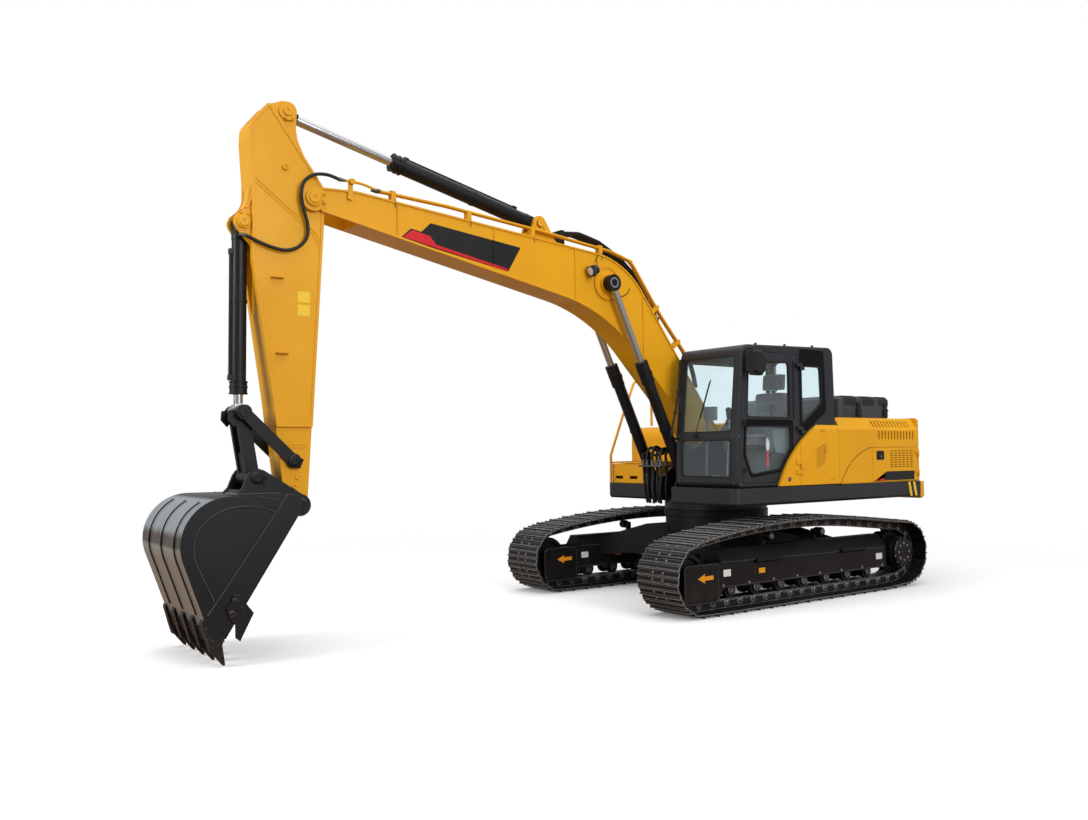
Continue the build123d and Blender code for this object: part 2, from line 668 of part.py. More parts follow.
def cab_glass():
    """The fixed panes: two in front, one behind, one on the right and the left quarter."""
    skin = sheet(cab_face(16) - cab_face(22), CAB_RIGHT, CAB_LEFT)
    panes = [skin & end_window(750, 1100, z0, z1, 1) for z0, z1 in FRONT_PANES]
    panes.append(skin & end_window(CAB_REAR - 60, CAB_REAR + 160, *REAR_PANE, 1))
    for window, y, rounds in (
        (QUARTER_WINDOW, CAB_LEFT - 22, {0: 40, 1: 50, 2: 50, 3: 50}),
        (RIGHT_WINDOW, CAB_RIGHT + 16, {0: 50, 1: 50, 3: 50, 4: 50}),
    ):
        panes.append(sheet(offset(outline(window, rounds), -1), y, y + 6))
    return all_of(panes)


def door_glass():
    """The door's two panes."""
    upper = offset(outline(UPPER_WINDOW, {0: 40, 1: 40, 2: 60, 3: 60}), -1)
    lower = offset(outline(LOWER_WINDOW, {0: 30, 1: 60, 2: 60, 3: 60, 5: 30}), -1)
    return sheet(upper, CAB_LEFT - 25, CAB_LEFT - 19) + sheet(lower, CAB_LEFT - 25, CAB_LEFT - 19)


def cab_trim():
    """Mirror on its arm, wiper on its rail, and the roof's lifting studs."""
    mirror_head = block(962, 990, 1330, 1494, 2520, 2810, 12, Axis.X)
    arm_points = [(870, 1304, 2815), (930, 1400, 2860), (976, 1412, 2800)]
    head = mirror_head + between(arm_points[0], arm_points[1], 10) + between(arm_points[1], arm_points[2], 10)
    wiper = block(CAB_FRONT + 1, CAB_FRONT + 20, 640, 700, 1846, 1890)
    wiper += between((CAB_FRONT + 12, 670, 1870), (CAB_FRONT - 53, 860, 2480), 6)
    studs = []
    for x, y in ((-560, 480), (-560, 1160), (500, 1160)):
        roof = CAB_ROOF - 42 * (x - CAB_REAR - 50) / (900 - CAB_REAR - 50) + 1
        studs.append(upright(x, y, 22, roof, roof + 30))
    return head + wiper + all_of(studs)


SEAT_Y = (CAB_RIGHT + CAB_LEFT) / 2


def seat():
    """The driver's seat: cushion, back and head rest."""
    cushion = block(-300, 200, SEAT_Y - 250, SEAT_Y + 250, 1760, 1880, 60)
    back = [(-330, 1884), (-190, 1884), (-300, 2480), (-400, 2480)]
    rest = [(-415, 2490), (-320, 2490), (-345, 2650), (-425, 2650)]
    body = cushion + plate(back, SEAT_Y - 240, SEAT_Y + 240, {2: 40, 3: 40})
    return body + plate(rest, SEAT_Y - 130, SEAT_Y + 130, {1: 30, 2: 30, 3: 30})


def consoles():
    """Seat stand, side consoles with joysticks, lock-out lever, monitor and travel pedals."""
    floor = CAB_FLOOR + CAB_WALL
    body = block(-320, 140, SEAT_Y - 180, SEAT_Y + 180, floor, 1756)
    for side in (-1, 1):
        y = SEAT_Y + side * 330
        box = [(-330, floor + 250), (280, floor + 340), (340, 1960), (300, 2010), (-330, 1960)]
        body += plate(box, y - 60, y + 60, {2: 40, 3: 30})
        body += upright(250, y, 16, 1990, 2090) + block(222, 278, y - 26, y + 26, 2090, 2200, 20)
        body += block(-320, -140, y - side * 60, y - side * 190, floor + 120, 1750)
        pedal = [(560, floor), (700, floor), (760, floor + 60), (740, floor + 80), (620, floor + 30)]
        body += plate(pedal, SEAT_Y + side * 90 - 55, SEAT_Y + side * 90 + 55)
        body += between((620, SEAT_Y + side * 40, floor + 3), (560, SEAT_Y + side * 40, 2060), 12)
    screen = block(560, 600, CAB_RIGHT + 60, CAB_RIGHT + 250, 2060, 2220, 14, Axis.X)
    body += screen + between((600, CAB_RIGHT + 90, floor + 3), (590, CAB_RIGHT + 110, 2070), 14)
    return body


# ---------------------------------------------------------------- boom
def boom_face():
    """The boom's side outline with the long bend above and below."""
    points = [
        (300, 1690), (1890, 3290), (5300, 3950), (5440, 4165), (4950, 4190), (1600, 3905), (60, 1880),
    ]
    return outline(points, {1: 2000, 4: 400, 5: 1000})


def crowd_bracket():
    """One of the two gusset ears that hold the arm cylinder's foot."""
    ear = plate([(2480, 3930), (3080, 3985), (2862, 4110), (2830, 4232), (2680, 4232)], 66, 100, {3: 50, 4: 50})
    return ear + drum(CROWD_FOOT, 84, 66, 104) - drum(CROWD_FOOT, 45 + FIT, 60, 110)


def boom():
    """The boom: a welded hollow box with flange lips, forked at the arm, with its bosses."""
    face = boom_face()
    body = sheet(face, -BOOM_HALF + 12, BOOM_HALF - 12)
    lips = sheet(face, -BOOM_HALF, BOOM_HALF)
    lips -= sheet(offset(face, -18, kind=Kind.INTERSECTION), -BOOM_HALF - 1, BOOM_HALF + 1)
    body += lips + drum(BOOM_FOOT, 160, -BOOM_HALF, BOOM_HALF)
    body += drum(BOOM_TIP, 122, -BOOM_HALF - 8, BOOM_HALF + 8)
    body += drum(LIFT_EYE, 170, -BOOM_HALF, BOOM_HALF) + drum(LIFT_EYE, 105, -212, 212)
    body -= plate([(4930, 3500), (5700, 3500), (5700, 4500), (4930, 4500)], -158, 158)
    cavity = sheet(offset(face, -16, kind=Kind.INTERSECTION), -BOOM_HALF + 28, BOOM_HALF - 28)
    cavity -= block(4890, 5700, -300, 300, 3000, 4500) + drum(BOOM_FOOT, 200, -300, 300)
    body -= cavity
    for x in (1330, 2330, 3400, 4520):  # pressed seams where the side plates are joined
        seam = block(x - 5, x + 5, BOOM_HALF - 15, BOOM_HALF, 2000, 4300)
        body += both(seam & sheet(face, -BOOM_HALF, BOOM_HALF))
    body -= drum(BOOM_FOOT, 55 + FIT, -BOOM_HALF - 1, BOOM_HALF + 1)
    body -= drum(BOOM_TIP, 50 + FIT, -BOOM_HALF - 20, BOOM_HALF + 20)
    return body + both(crowd_bracket())


def boom_pins():
    """The boom's own pins: at the arm cylinder's foot and at its fork, with keeper plates."""
    tip = drum(BOOM_TIP, 50, -205, 205) + both(drum(BOOM_TIP, 78, BOOM_HALF + 9, 204))
    return drum(CROWD_FOOT, 45, -118, 118) + tip


def boom_top(x):
    """Height of the boom's top plate over its long straight stretch."""
    return 3905 + (x - 1600) * (4190 - 3905) / (4950 - 1600)


PIPE_ROUTE = [(1480, 3900), (1790, 3985), (2800, 4095), (3960, 4196), (4700, 4232)]


def boom_pipes():
    """Two steel pipes along the left of the boom's top, in clamps."""
    pipes = [pipe([(x, y, z) for x, z in PIPE_ROUTE], 13, 500) for y in (124, 160)]
    feet = [
        block(x - 25, x + 25, 108, 176, boom_top(x + 25) + 0.5, boom_top(x) + 96)
        for x in (1960, 2900, 3700, 4560)
    ]
    return all_of(pipes) + all_of(feet)


HOSE_ROUTE = [
    (1010, 3290), (1110, 3520), (1300, 3745), (1579, 3960), (1893, 4105), (2180, 4165), (2420, 4140),
]


def boom_hoses():
    """Black hoses that arch over the bend to the arm cylinder's foot."""
    hoses = [pipe([(x, y, z) for x, z in HOSE_ROUTE], 17, 300) for y in (-96, -52, 0, 52)]
    return all_of(hoses) + block(985, 1045, -120, 76, 3235, 3300) + block(2400, 2450, -120, 76, 3985, 4165)


def boom_lamp():
    """The work lamp on a bracket at the boom's left side."""
    face = Plane(origin=(2148, 262, 3715), z_dir=(0.94, 0, -0.34))
    lamp = extrude(face * Rectangle(110, 110), 35) + extrude(face * Circle(50), -55)
    return lamp + block(2085, 2125, BOOM_HALF - 1, 230, 3660, 3760)


# ---------------------------------------------------------------- cylinders
def barrel(foot, eye, length, radius, bore, half, pin, y=0.0):
    """A cylinder's barrel from its foot eye to its gland, bored for the rod."""
    end, neck = along(foot, eye, length), pin + 70
    body = rod(along(foot, eye, neck), end, radius, y) + drum(foot, pin + 20, y - half, y + half)
    body += strap(foot, along(foot, eye, neck + 10), pin + 14, y - half, y + half)
    body += rod(along(foot, eye, length - 110), end, radius + 10, y)
    body += rod(along(foot, eye, neck), along(foot, eye, neck + 40), radius + 4, y)
    body -= rod(along(foot, eye, neck + 40), along(foot, eye, length + 10), bore, y)
    return body - drum(foot, pin + FIT, y - half - 5, y + half + 5)


def feed_pipe(foot, eye, start, end, off, y=0.0):
    """The steel pipe along a barrel, with a block at each end."""
    body = rod(along(foot, eye, start, off), along(foot, eye, end, off), 11, y)
    for at in (start, end):
        a, b = along(foot, eye, at - 25, off - 8), along(foot, eye, at + 25, off - 8)
        body += strap(a, b, 20, y - 24, y + 24)
    return body


def piston_rod(foot, eye, inside, radius, half, boss, y=0.0):
    """A chromed rod that reaches back into the barrel, with its eye around a short pin."""
    length = hypot(eye[0] - foot[0], eye[1] - foot[1])
    body = rod(along(foot, eye, length - inside), eye, radius, y)
    return body + drum(eye, boss, y - half, y + half)


# ---------------------------------------------------------------- arm
ARM = [  # x, z round the arm's box, from the top corner down the front and up the back
    (5363, 4312), (5787, 4885), (5956, 4670), (5964, 4534), (5938, 4168), (5934, 3437), (5746, 2212),
    (5648, 1440), (5613, 1258), (5417, 1258), (5361, 2221), (5268, 3792), (5262, 4170),
]
ARM_EAR = [  # x, z of one ear plate, which carries the arm cylinder's eye behind the box
    (5380, 4330), (5505, 4590), (5522, 4700), (5512, 4800), (5530, 4900), (5640, 4935), (5780, 4872),
    (5800, 4600), (5500, 4300),
]
EAR_IN, EAR_OUT = 66.0, 106.0
ARM_RIM, ARM_INSET = 26.0, 7.0  # the side plates sit in from the rim of the front and back plates
CURL_ROOM = 84.0  # half the width of the recess behind the bucket cylinder


def curl_recess(grow=0.0):
    """The recess in the arm's front plate behind the bucket cylinder's foot."""
    return block(5858 - grow, 6300, -CURL_ROOM - grow, CURL_ROOM + grow, 2980 - grow, 4080 + grow)


def arm_hollow(face):
    """The room inside the arm's box."""
    wall = 16
    room = sheet(offset(face, -wall, kind=Kind.INTERSECTION), wall - ARM_HALF, ARM_HALF - wall)
    room -= block(5000, 6200, -300, 300, 800, 2000) + block(5000, 6200, -300, 300, 4290, 5200)
    return room - drum(BOOM_TIP, 135, -300, 300) - curl_recess(wall)


def arm():
    """The arm: a hollow tapered box, ears on top, lug plates in front, slim end for the bucket."""
    face = outline(ARM, {1: 25, 2: 120, 4: 150})
    body = sheet(face, -ARM_HALF, ARM_HALF) + drum(ARM_TIP, 98, -ARM_END_HALF, ARM_END_HALF)
    inset = sheet(offset(face, -ARM_RIM, kind=Kind.INTERSECTION), ARM_HALF - ARM_INSET, ARM_HALF + 5)
    body -= both(inset - block(5000, 6200, 100, 300, 900, 2060))
    body -= both(block(5200, 5900, ARM_END_HALF, 200, 900, 1960))
    body += both(plate(ARM_EAR, EAR_IN, EAR_OUT, {1: 200, 3: 200, 4: 60, 5: 60}))
    ears_open = [(5000, 4560), (5420, 4560), (5560, 4645), (5760, 4645), (6200, 4725), (6200, 5200), (5000, 5200)]
    body -= plate(ears_open, -EAR_IN, EAR_IN)
    body -= arm_hollow(face) + curl_recess()
    body += both(drum(CROWD_EYE, 86, EAR_IN, EAR_OUT + 14))
    lug = plate([(5870, 3500), (5870, 4000), (5960, 3905), (6078, 3810), (6060, 3710)], 70, 104)
    body += both(lug + drum(CURL_FOOT, 82, 70, 108) - drum(CURL_FOOT, 40 + FIT, 60, 120))
    body += drum(BOOM_TIP, 112, -ARM_HALF - 5, ARM_HALF + 5) + drum(ROCKER, 78, -ARM_END_HALF, ARM_END_HALF)
    body -= drum(BOOM_TIP, 50 + FIT, -300, 300)
    return body - drum(ARM_TIP, 42 + FIT, -300, 300) - drum(ROCKER, 38 + FIT, -300, 300)


def arm_pins():
    """The pins that stay in the arm: bucket cylinder's foot, and the rocker links'."""
    foot = drum(CURL_FOOT, 40, -122, 122) + both(drum(CURL_FOOT, 60, 109, 121))
    return foot + drum(ROCKER, 38, -180, 180) + both(drum(ROCKER, 54, 168, 179))


def arm_hose():
    """The hose that loops over the arm's left side to the bucket cylinder."""
    y = ARM_HALF + 40
    route = [
        (5140, 214, 4262), (5330, 216, 4290), (5470, 214, 4220), (5530, 208, 4110), (5490, y + 2, 3950),
        (5440, y, 3800), (5450, y, 3680), (5540, y, 3575), (5650, y - 2, 3535), (5790, y - 8, 3560),
        (5935, y - 8, 3608), (5996, 142, 3645),
    ]
    return pipe(route, 15, 55)


def rocker(side):
    """One of the two rocker links beside the arm's end."""
    bar = link_plate(ROCKER, LINK_TOP, 52, side * 132, side * 164)
    bar += drum(LINK_TOP, 66, side * 131, side * 176) + drum(ROCKER, 66, side * 131, side * 166)
    return bar - drum(ROCKER, 38 + FIT, side * 120, side * 190)


def push_link():
    """The link from the rockers to the bucket: a fork above, one wide boss below."""
    cheeks = link_plate(LINK_TOP, LINK_LOW, 58, 68, 110) + drum(LINK_TOP, 66, 60, 126)
    web = link_plate(along(LINK_LOW, LINK_TOP, 60), along(LINK_LOW, LINK_TOP, 200), 44, -70, 70)
    hook = plate([(6040, 2010), (6075, 1960), (6130, 2020), (6125, 2100), (6085, 2110)], 86, 108)
    return both(cheeks + hook) + web + drum(LINK_LOW, 72, -164, 164)


# ---------------------------------------------------------------- bucket
def bucket_face():
    """The bucket's side outline, from the hinge corner over the back to the lip."""
    points = [(5640, 1262), (5675, 1372), (6826, 1372), (6412, 225), (6300, 225)]
    return outline(points, {1: 30, 2: 385})


def side_panel():
    """The sunk panel of a bucket side: a rim along the back and a broad plate along the front."""
    points = [(5652, 1372), (6826, 1372), (6425, 293)]
    return offset(outline(points, {1: 385}), -96, kind=Kind.INTERSECTION)


def wear_strips(face):
    """Three raised strips round the bucket's back."""
    ring = offset(face, 12) - face
    bands = [sheet(ring, y - 45, y + 45) for y in (-380, 0, 380)]
    keep = block(6380, 7000, -600, 600, 420, 1330)
    return all_of([band & keep for band in bands])


def bucket():
    """The bucket: a rolled shell between two side plates, with hinge ears and wear strips."""
    face = bucket_face()
    body = sheet(face, -BUCKET_HALF, BUCKET_HALF)
    inner = offset(face, -BUCKET_WALL, kind=Kind.INTERSECTION)
    inside = BUCKET_HALF - BUCKET_WALL
    body -= sheet(inner, -inside, inside)
    body -= plate([(5690, 1300), (6345, 250), (5800, 0), (5100, 1150)], -inside, inside)
    body -= both(sheet(side_panel(), BUCKET_HALF - 8, BUCKET_HALF + 5))
    ear = [
        (5440, 1195), (5570, 1165), (5690, 1330), (6090, 1374), (6040, 1420), (5992, 1540), (5870, 1590),
        (5480, 1345),
    ]
    ears = plate(ear, 171, 208, {2: 60, 6: 60}) + drum(ARM_TIP, 98, 132, 208)
    body += both(ears + drum(LINK_LOW, 80, 171, 208)) + wear_strips(face)
    body += plate([(5800, 1360), (6080, 1360), (6040, 1410), (5850, 1410)], -172, 172)
    body -= both(drum(ARM_TIP, 42 + FIT, 120, 220) + drum(LINK_LOW, 38 + FIT, 160, 220))
    return body - drum(LINK_LOW, 104, -168, 168)


def bucket_pin():
    """The bucket's hinge pin, held in its ears, and the low link pin's ends."""
    hinge = drum(ARM_TIP, 42, -224, 224) + both(drum(ARM_TIP, 62, 210, 223))
    return hinge + both(drum(LINK_LOW, 38, 169, 222) + drum(LINK_LOW, 56, 210, 221))


def tooth(y):
    """One adapter on the lip with a pointed tooth."""
    adapter = [
        (6488, 372), (6480, 392), (6462, 392), (6412, 262), (6372, 330), (6340, 330), (6318, 200), (6336, 150),
        (6414, 122), (6440, 200),
    ]
    root, tip = (6378, 176), (6304, 12)
    axis = (root[0] - tip[0], 0, root[1] - tip[1])
    wide = Plane(origin=(root[0], y, root[1]), x_dir=(0, 1, 0), z_dir=axis) * Rectangle(92, 104)
    thin = Plane(origin=(tip[0], y, tip[1]), x_dir=(0, 1, 0), z_dir=axis) * Rectangle(58, 14)
    return plate(adapter, y - 40, y + 40) + loft([thin, wide])


def teeth():
    """Five teeth along the lip, the bolt-on edge between them and the two side cutters."""
    body = all_of([tooth((i - 2) * 270.0) for i in range(5)])
    edge = [(6460, 330), (6418, 206), (6306, 206), (6316, 230), (6406, 230), (6440, 330)]
    body += plate(edge, -BUCKET_HALF, BUCKET_HALF)
    cutter = [
        (6150, 512), (6077, 415), (6190, 198), (6224, 227), (6226, 332), (6275, 388), (6303, 476), (6262, 524),
        (6247, 570), (6197, 578),
    ]
    blade = plate(cutter, BUCKET_HALF + 0.2, BUCKET_HALF + 24, {7: 12, 8: 20, 9: 20})
    return body - bucket() + both(blade)


# ---------------------------------------------------------------- every node
SIDES = (("left", 1), ("right", -1))
for label, side in SIDES:
    save(f"track_{label}", track(side))
    save(f"track_frame_{label}", track_frame(side))
    save(f"rollers_{label}", rollers(side))
    save(f"final_drive_{label}", final_drive(side))
    lift = barrel(LIFT_FOOT, LIFT_EYE, 1560, 62, 40.6, 40, 45, side * LIFT_Y)
    lift += feed_pipe(LIFT_FOOT, LIFT_EYE, 260, 1400, 78, side * LIFT_Y)
    save(f"lift_barrel_{label}", lift)
    save(f"lift_rod_{label}", piston_rod(LIFT_FOOT, LIFT_EYE, 1585, 40, 44, 92, side * LIFT_Y))
for maker in (
    undercarriage_frame, slew_ring, deck, frame_pins, counterweight, engine, side_shell_left,
    side_shell_right, bulkhead, radiator_door, fender_door, pump_door, hood, tank, toolbox,
    toolbox_lid, handrail, cab_shell, cab_door, cab_glass, door_glass, cab_trim, seat, consoles,
    boom, boom_pins, boom_pipes, boom_hoses, boom_lamp, arm, arm_pins, arm_hose, push_link,
    bucket, bucket_pin, teeth,
):
    save(maker.__name__, maker())
save("rockers", rocker(1) + rocker(-1))
crowd = barrel(CROWD_FOOT, CROWD_EYE, 1780, 78, 45.6, 60, 45)
save("crowd_barrel", crowd + feed_pipe(CROWD_FOOT, CROWD_EYE, 300, 1640, 92))
save("crowd_rod", piston_rod(CROWD_FOOT, CROWD_EYE, 1700, 45, 60, 88))
curl = barrel(CURL_FOOT, LINK_TOP, 1520, 66, 40.6, 60, 40)
save("curl_barrel", curl + feed_pipe(CURL_FOOT, LINK_TOP, 260, 1380, 80))
save("curl_rod", piston_rod(CURL_FOOT, LINK_TOP, 1460, 40, 54, 78))

os.makedirs("parts", exist_ok=True)
for name, piece in PARTS.items():
    export_step(Pos(-ORIGIN_X, 0, 0) * piece, f"parts/{name}.step")
    print(name, round(piece.volume / 1e9, 4), "m3", len(piece.solids()), "solids")
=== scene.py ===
# %% [markdown]
# A crawler excavator, dressed for a studio picture. The rigid model comes packed as a
# fixed frame, in metres, with every node in its place. This lesson gives each node its
# finish, adds the small things that a builder bolts, sticks or clips on, and sets the
# lights and the camera. Nothing that the frame holds is moved.

# %% Load the frame
import json
import math
import bmesh
import bpy
from mathutils import Matrix, Vector


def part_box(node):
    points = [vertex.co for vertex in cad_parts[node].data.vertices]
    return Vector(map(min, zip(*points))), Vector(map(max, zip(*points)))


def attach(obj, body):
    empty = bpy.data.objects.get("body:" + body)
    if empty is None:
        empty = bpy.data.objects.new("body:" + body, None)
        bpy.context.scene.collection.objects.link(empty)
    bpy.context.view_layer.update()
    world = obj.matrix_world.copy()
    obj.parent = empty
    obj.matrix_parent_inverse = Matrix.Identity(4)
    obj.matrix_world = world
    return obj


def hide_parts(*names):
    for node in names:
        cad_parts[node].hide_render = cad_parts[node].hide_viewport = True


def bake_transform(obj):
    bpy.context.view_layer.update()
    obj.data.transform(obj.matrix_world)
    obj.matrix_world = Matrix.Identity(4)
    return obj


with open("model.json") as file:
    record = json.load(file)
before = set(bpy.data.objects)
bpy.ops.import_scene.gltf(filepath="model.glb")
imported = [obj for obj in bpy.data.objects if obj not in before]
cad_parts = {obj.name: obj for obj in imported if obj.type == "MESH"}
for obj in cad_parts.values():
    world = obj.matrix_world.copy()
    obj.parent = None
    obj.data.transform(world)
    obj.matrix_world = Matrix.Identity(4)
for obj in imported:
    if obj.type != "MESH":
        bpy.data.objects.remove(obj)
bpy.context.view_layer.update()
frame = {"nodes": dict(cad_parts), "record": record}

nodes = frame["nodes"]

# %% [markdown]
# Most sizes are told from the swing axis, the upright line that the upper body turns
# about. The frame's own origin lies further forward, in the middle of the machine's
# length, so one helper turns a place told from the swing axis into the frame's own.

# %% Places told from the swing axis
SWING_X = frame["record"]["behaviour"]["joints"][0]["pos_m"][0]
SIDES = (("left", 1), ("right", -1))


def place(x, y, z):
    """A point told from the swing axis, in the frame's own metres."""
    return Vector((x + SWING_X, y, z))


print("swing axis at x =", SWING_X)

# %% [markdown]
# Three effects come back in nearly every finish: dust that gathers low down and on what
# faces up, paint that wears through along edges, which on the track shoes also serves as a
# painted highlight, and a fine unevenness of the paint itself. Each is a node group with
# named inputs, built once, so every material can use it with its own numbers. Baking cannot
# look inside a shader that sits in a group, so a group gives out masks and heights only, and
# the shader stays in the material.

# %% Helpers for shader trees
def link(tree, source, target):
    """Join two sockets."""
    tree.links.new(source, target)


def put(tree, value, socket):
    """Give an input its value: a socket is linked, a number or colour is typed in."""
    if isinstance(value, bpy.types.NodeSocket):
        link(tree, value, socket)
    else:
        socket.default_value = value


def add_node(tree, kind, **settings):
    """A shader node with some of its settings made."""
    made = tree.nodes.new(kind)
    for key, value in settings.items():
        setattr(made, key, value)
    return made


def feed(tree, node, **values):
    """Set a node's inputs by name."""
    for key, value in values.items():
        put(tree, value, node.inputs[key.replace("_", " ")])


def object_place(tree):
    """Where a point lies on its own object."""
    return add_node(tree, "ShaderNodeTexCoord").outputs["Object"]


def split(tree, vector):
    """A vector's X, Y and Z."""
    made = add_node(tree, "ShaderNodeSeparateXYZ")
    link(tree, vector, made.inputs[0])
    return made.outputs


def face_way(tree):
    """The X, Y and Z of the way a surface faces."""
    return split(tree, add_node(tree, "ShaderNodeNewGeometry").outputs["Normal"])


def calc(tree, operation, a, b=0.0, clamp=False):
    """A Math node's result."""
    made = add_node(tree, "ShaderNodeMath", operation=operation, use_clamp=clamp)
    put(tree, a, made.inputs[0])
    put(tree, b, made.inputs[1])
    return made.outputs[0]


def ramp(tree, value, low, high):
    """A value's share of the way from low to high, run smoothly from 0 to 1."""
    made = add_node(tree, "ShaderNodeMapRange", interpolation_type="SMOOTHSTEP")
    feed(tree, made, Value=value, From_Min=low, From_Max=high)
    return made.outputs["Result"]


def noise(tree, where, scale, detail=3.0, rough=0.55):
    """Noise at a place."""
    made = add_node(tree, "ShaderNodeTexNoise")
    feed(tree, made, Vector=where, Scale=scale, Detail=detail, Roughness=rough)
    return made.outputs["Fac"]


def mix_colour(tree, share, a, b):
    """Two colours mixed by a share."""
    made = add_node(tree, "ShaderNodeMix", data_type="RGBA")
    link(tree, share, made.inputs["Factor"])
    for socket, value in ((made.inputs[6], a), (made.inputs[7], b)):
        put(tree, (*value, 1.0) if isinstance(value, tuple) else value, socket)
    return made.outputs[2]


def mix_number(tree, share, a, b):
    """Two numbers mixed by a share."""
    made = add_node(tree, "ShaderNodeMix", data_type="FLOAT")
    link(tree, share, made.inputs["Factor"])
    put(tree, a, made.inputs[2])
    put(tree, b, made.inputs[3])
    return made.outputs[0]


def mask_group(name, inputs):
    """An empty group with number inputs and one output called Mask."""
    tree = bpy.data.node_groups.new(name, "ShaderNodeTree")
    for key, value in inputs.items():
        socket = tree.interface.new_socket(key, in_out="INPUT", socket_type="NodeSocketFloat")
        socket.default_value = value
    tree.interface.new_socket("Mask", in_out="OUTPUT", socket_type="NodeSocketFloat")
    way_in, way_out = tree.nodes.new("NodeGroupInput"), tree.nodes.new("NodeGroupOutput")
    return tree, way_in.outputs, way_out.inputs["Mask"]


def use_group(tree, group, **values):
    """A group's mask with its inputs set."""
    made = add_node(tree, "ShaderNodeGroup", node_tree=group)
    feed(tree, made, **values)
    return made.outputs["Mask"]


# %% Dust that settles
def build_dust():
    """Dust from the ground up to a height, and on what faces up."""
    tree, given, mask = mask_group("dust", {"Height": 1.0, "Low": 0.6, "Top": 0.3, "Scale": 3.0})
    where = object_place(tree)
    share = calc(tree, "DIVIDE", split(tree, where)["Z"], given["Height"])
    low = calc(tree, "MULTIPLY", ramp(tree, share, 1.0, 0.0), given["Low"])
    top = calc(tree, "MULTIPLY", ramp(tree, face_way(tree)["Z"], 0.55, 1.0), given["Top"])
    patchy = ramp(tree, noise(tree, where, given["Scale"], 5.0, 0.62), 0.32, 0.72)
    link(tree, calc(tree, "MULTIPLY", calc(tree, "ADD", low, top), patchy, clamp=True), mask)
    return tree


# %% Edges that wear, and on the track shoes a painted highlight
def build_edge_wear_and_highlight():
    """Where a surface turns sharply, broken up by noise."""
    tree, given, mask = mask_group("edge_wear_and_highlight", {"Width": 0.006, "Amount": 0.5, "Scale": 14.0, "Cover": 0.0})
    rounded_off = add_node(tree, "ShaderNodeBevel", samples=4)
    link(tree, given["Width"], rounded_off.inputs["Radius"])
    dot = add_node(tree, "ShaderNodeVectorMath", operation="DOT_PRODUCT")
    link(tree, rounded_off.outputs["Normal"], dot.inputs[0])
    link(tree, add_node(tree, "ShaderNodeNewGeometry").outputs["Normal"], dot.inputs[1])
    edge = ramp(tree, calc(tree, "SUBTRACT", 1.0, dot.outputs["Value"]), 0.03, 0.16)
    low, high = (calc(tree, "SUBTRACT", bound, given["Cover"]) for bound in (0.42, 0.62))
    patchy = ramp(tree, noise(tree, object_place(tree), given["Scale"], 4.0, 0.7), low, high)
    link(tree, calc(tree, "MULTIPLY", calc(tree, "MULTIPLY", edge, patchy), given["Amount"], clamp=True), mask)
    return tree


# %% Unevenness of sprayed paint
def build_uneven():
    """Slow drift of tone over a panel, from 0 to 1."""
    tree, given, mask = mask_group("uneven_tone", {"Scale": 1.2, "Fine": 40.0, "Fine Share": 0.25})
    where = object_place(tree)
    slow = noise(tree, where, given["Scale"], 3.0)
    fine = noise(tree, where, given["Fine"], 2.0)
    fine_part = calc(tree, "MULTIPLY", fine, given["Fine Share"])
    slow_part = calc(tree, "MULTIPLY", slow, calc(tree, "SUBTRACT", 1.0, given["Fine Share"]))
    link(tree, ramp(tree, calc(tree, "ADD", fine_part, slow_part), 0.36, 0.64), mask)
    return tree


DUST, EDGE_WEAR_AND_HIGHLIGHT, UNEVEN = build_dust(), build_edge_wear_and_highlight(), build_uneven()
print("groups:", DUST.name, EDGE_WEAR_AND_HIGHLIGHT.name, UNEVEN.name)

# %% [markdown]
# Painted and bare metals differ in numbers, not in kind, so one maker builds them all: a
# tone that drifts, a worn colour along the edges, which on the track shoes is also a painted
# highlight, dust, and a fine relief. A table then holds each finish in a line or two. The
# yellow is a warm industrial enamel with a soft gloss. The charcoal of the cab is satin, and
# the black of the undercarriage is duller.

# %% One maker for paints and metals
DUST_COLOUR, DUST_ROUGH = (0.30, 0.26, 0.21), 0.85


def blank(name):
    """A new material, with its tree and its Principled shader."""
    made = bpy.data.materials.new(name)
    made.use_nodes = True
    return made, made.node_tree, made.node_tree.nodes["Principled BSDF"]


def painted(name, tone, second, wear_and_highlight_tone, rough, wear_and_highlight_share=0.2, width=0.006, low=0.03, top=0.0, height=1.2,
            metal=0.0, wear_and_highlight_metal=0.0, coat=0.0, gloss=0.3, relief=0.004, grain=120.0, cover=0.0):
    """A paint or metal: tone, second tone, edge colour, roughness and the shares of edge wear and painted highlight."""
    made, tree, shader = blank(name)
    drift = use_group(tree, UNEVEN)
    edge = use_group(tree, EDGE_WEAR_AND_HIGHLIGHT, Width=width, Amount=wear_and_highlight_share, Cover=cover)
    dust = use_group(tree, DUST, Height=height, Low=low, Top=top)
    colour = mix_colour(tree, edge, mix_colour(tree, drift, tone, second), wear_and_highlight_tone)
    sheen = mix_number(tree, drift, rough - 0.05, rough + 0.05)
    bare = metal if metal == wear_and_highlight_metal else mix_number(tree, edge, metal, wear_and_highlight_metal)
    bump = add_node(tree, "ShaderNodeBump")
    rounded_off = add_node(tree, "ShaderNodeBevel", samples=4)
    feed(tree, rounded_off, Radius=0.004)
    feed(tree, bump, Strength=relief * 10, Distance=0.002, Height=noise(tree, object_place(tree), grain, 3.0),
         Normal=rounded_off.outputs["Normal"])
    feed(tree, shader, Base_Color=mix_colour(tree, dust, colour, DUST_COLOUR), Normal=bump.outputs["Normal"],
         Roughness=mix_number(tree, dust, sheen, DUST_ROUGH), Metallic=bare, Coat_Weight=coat, Coat_Roughness=0.18,
         Specular_IOR_Level=gloss)
    return made
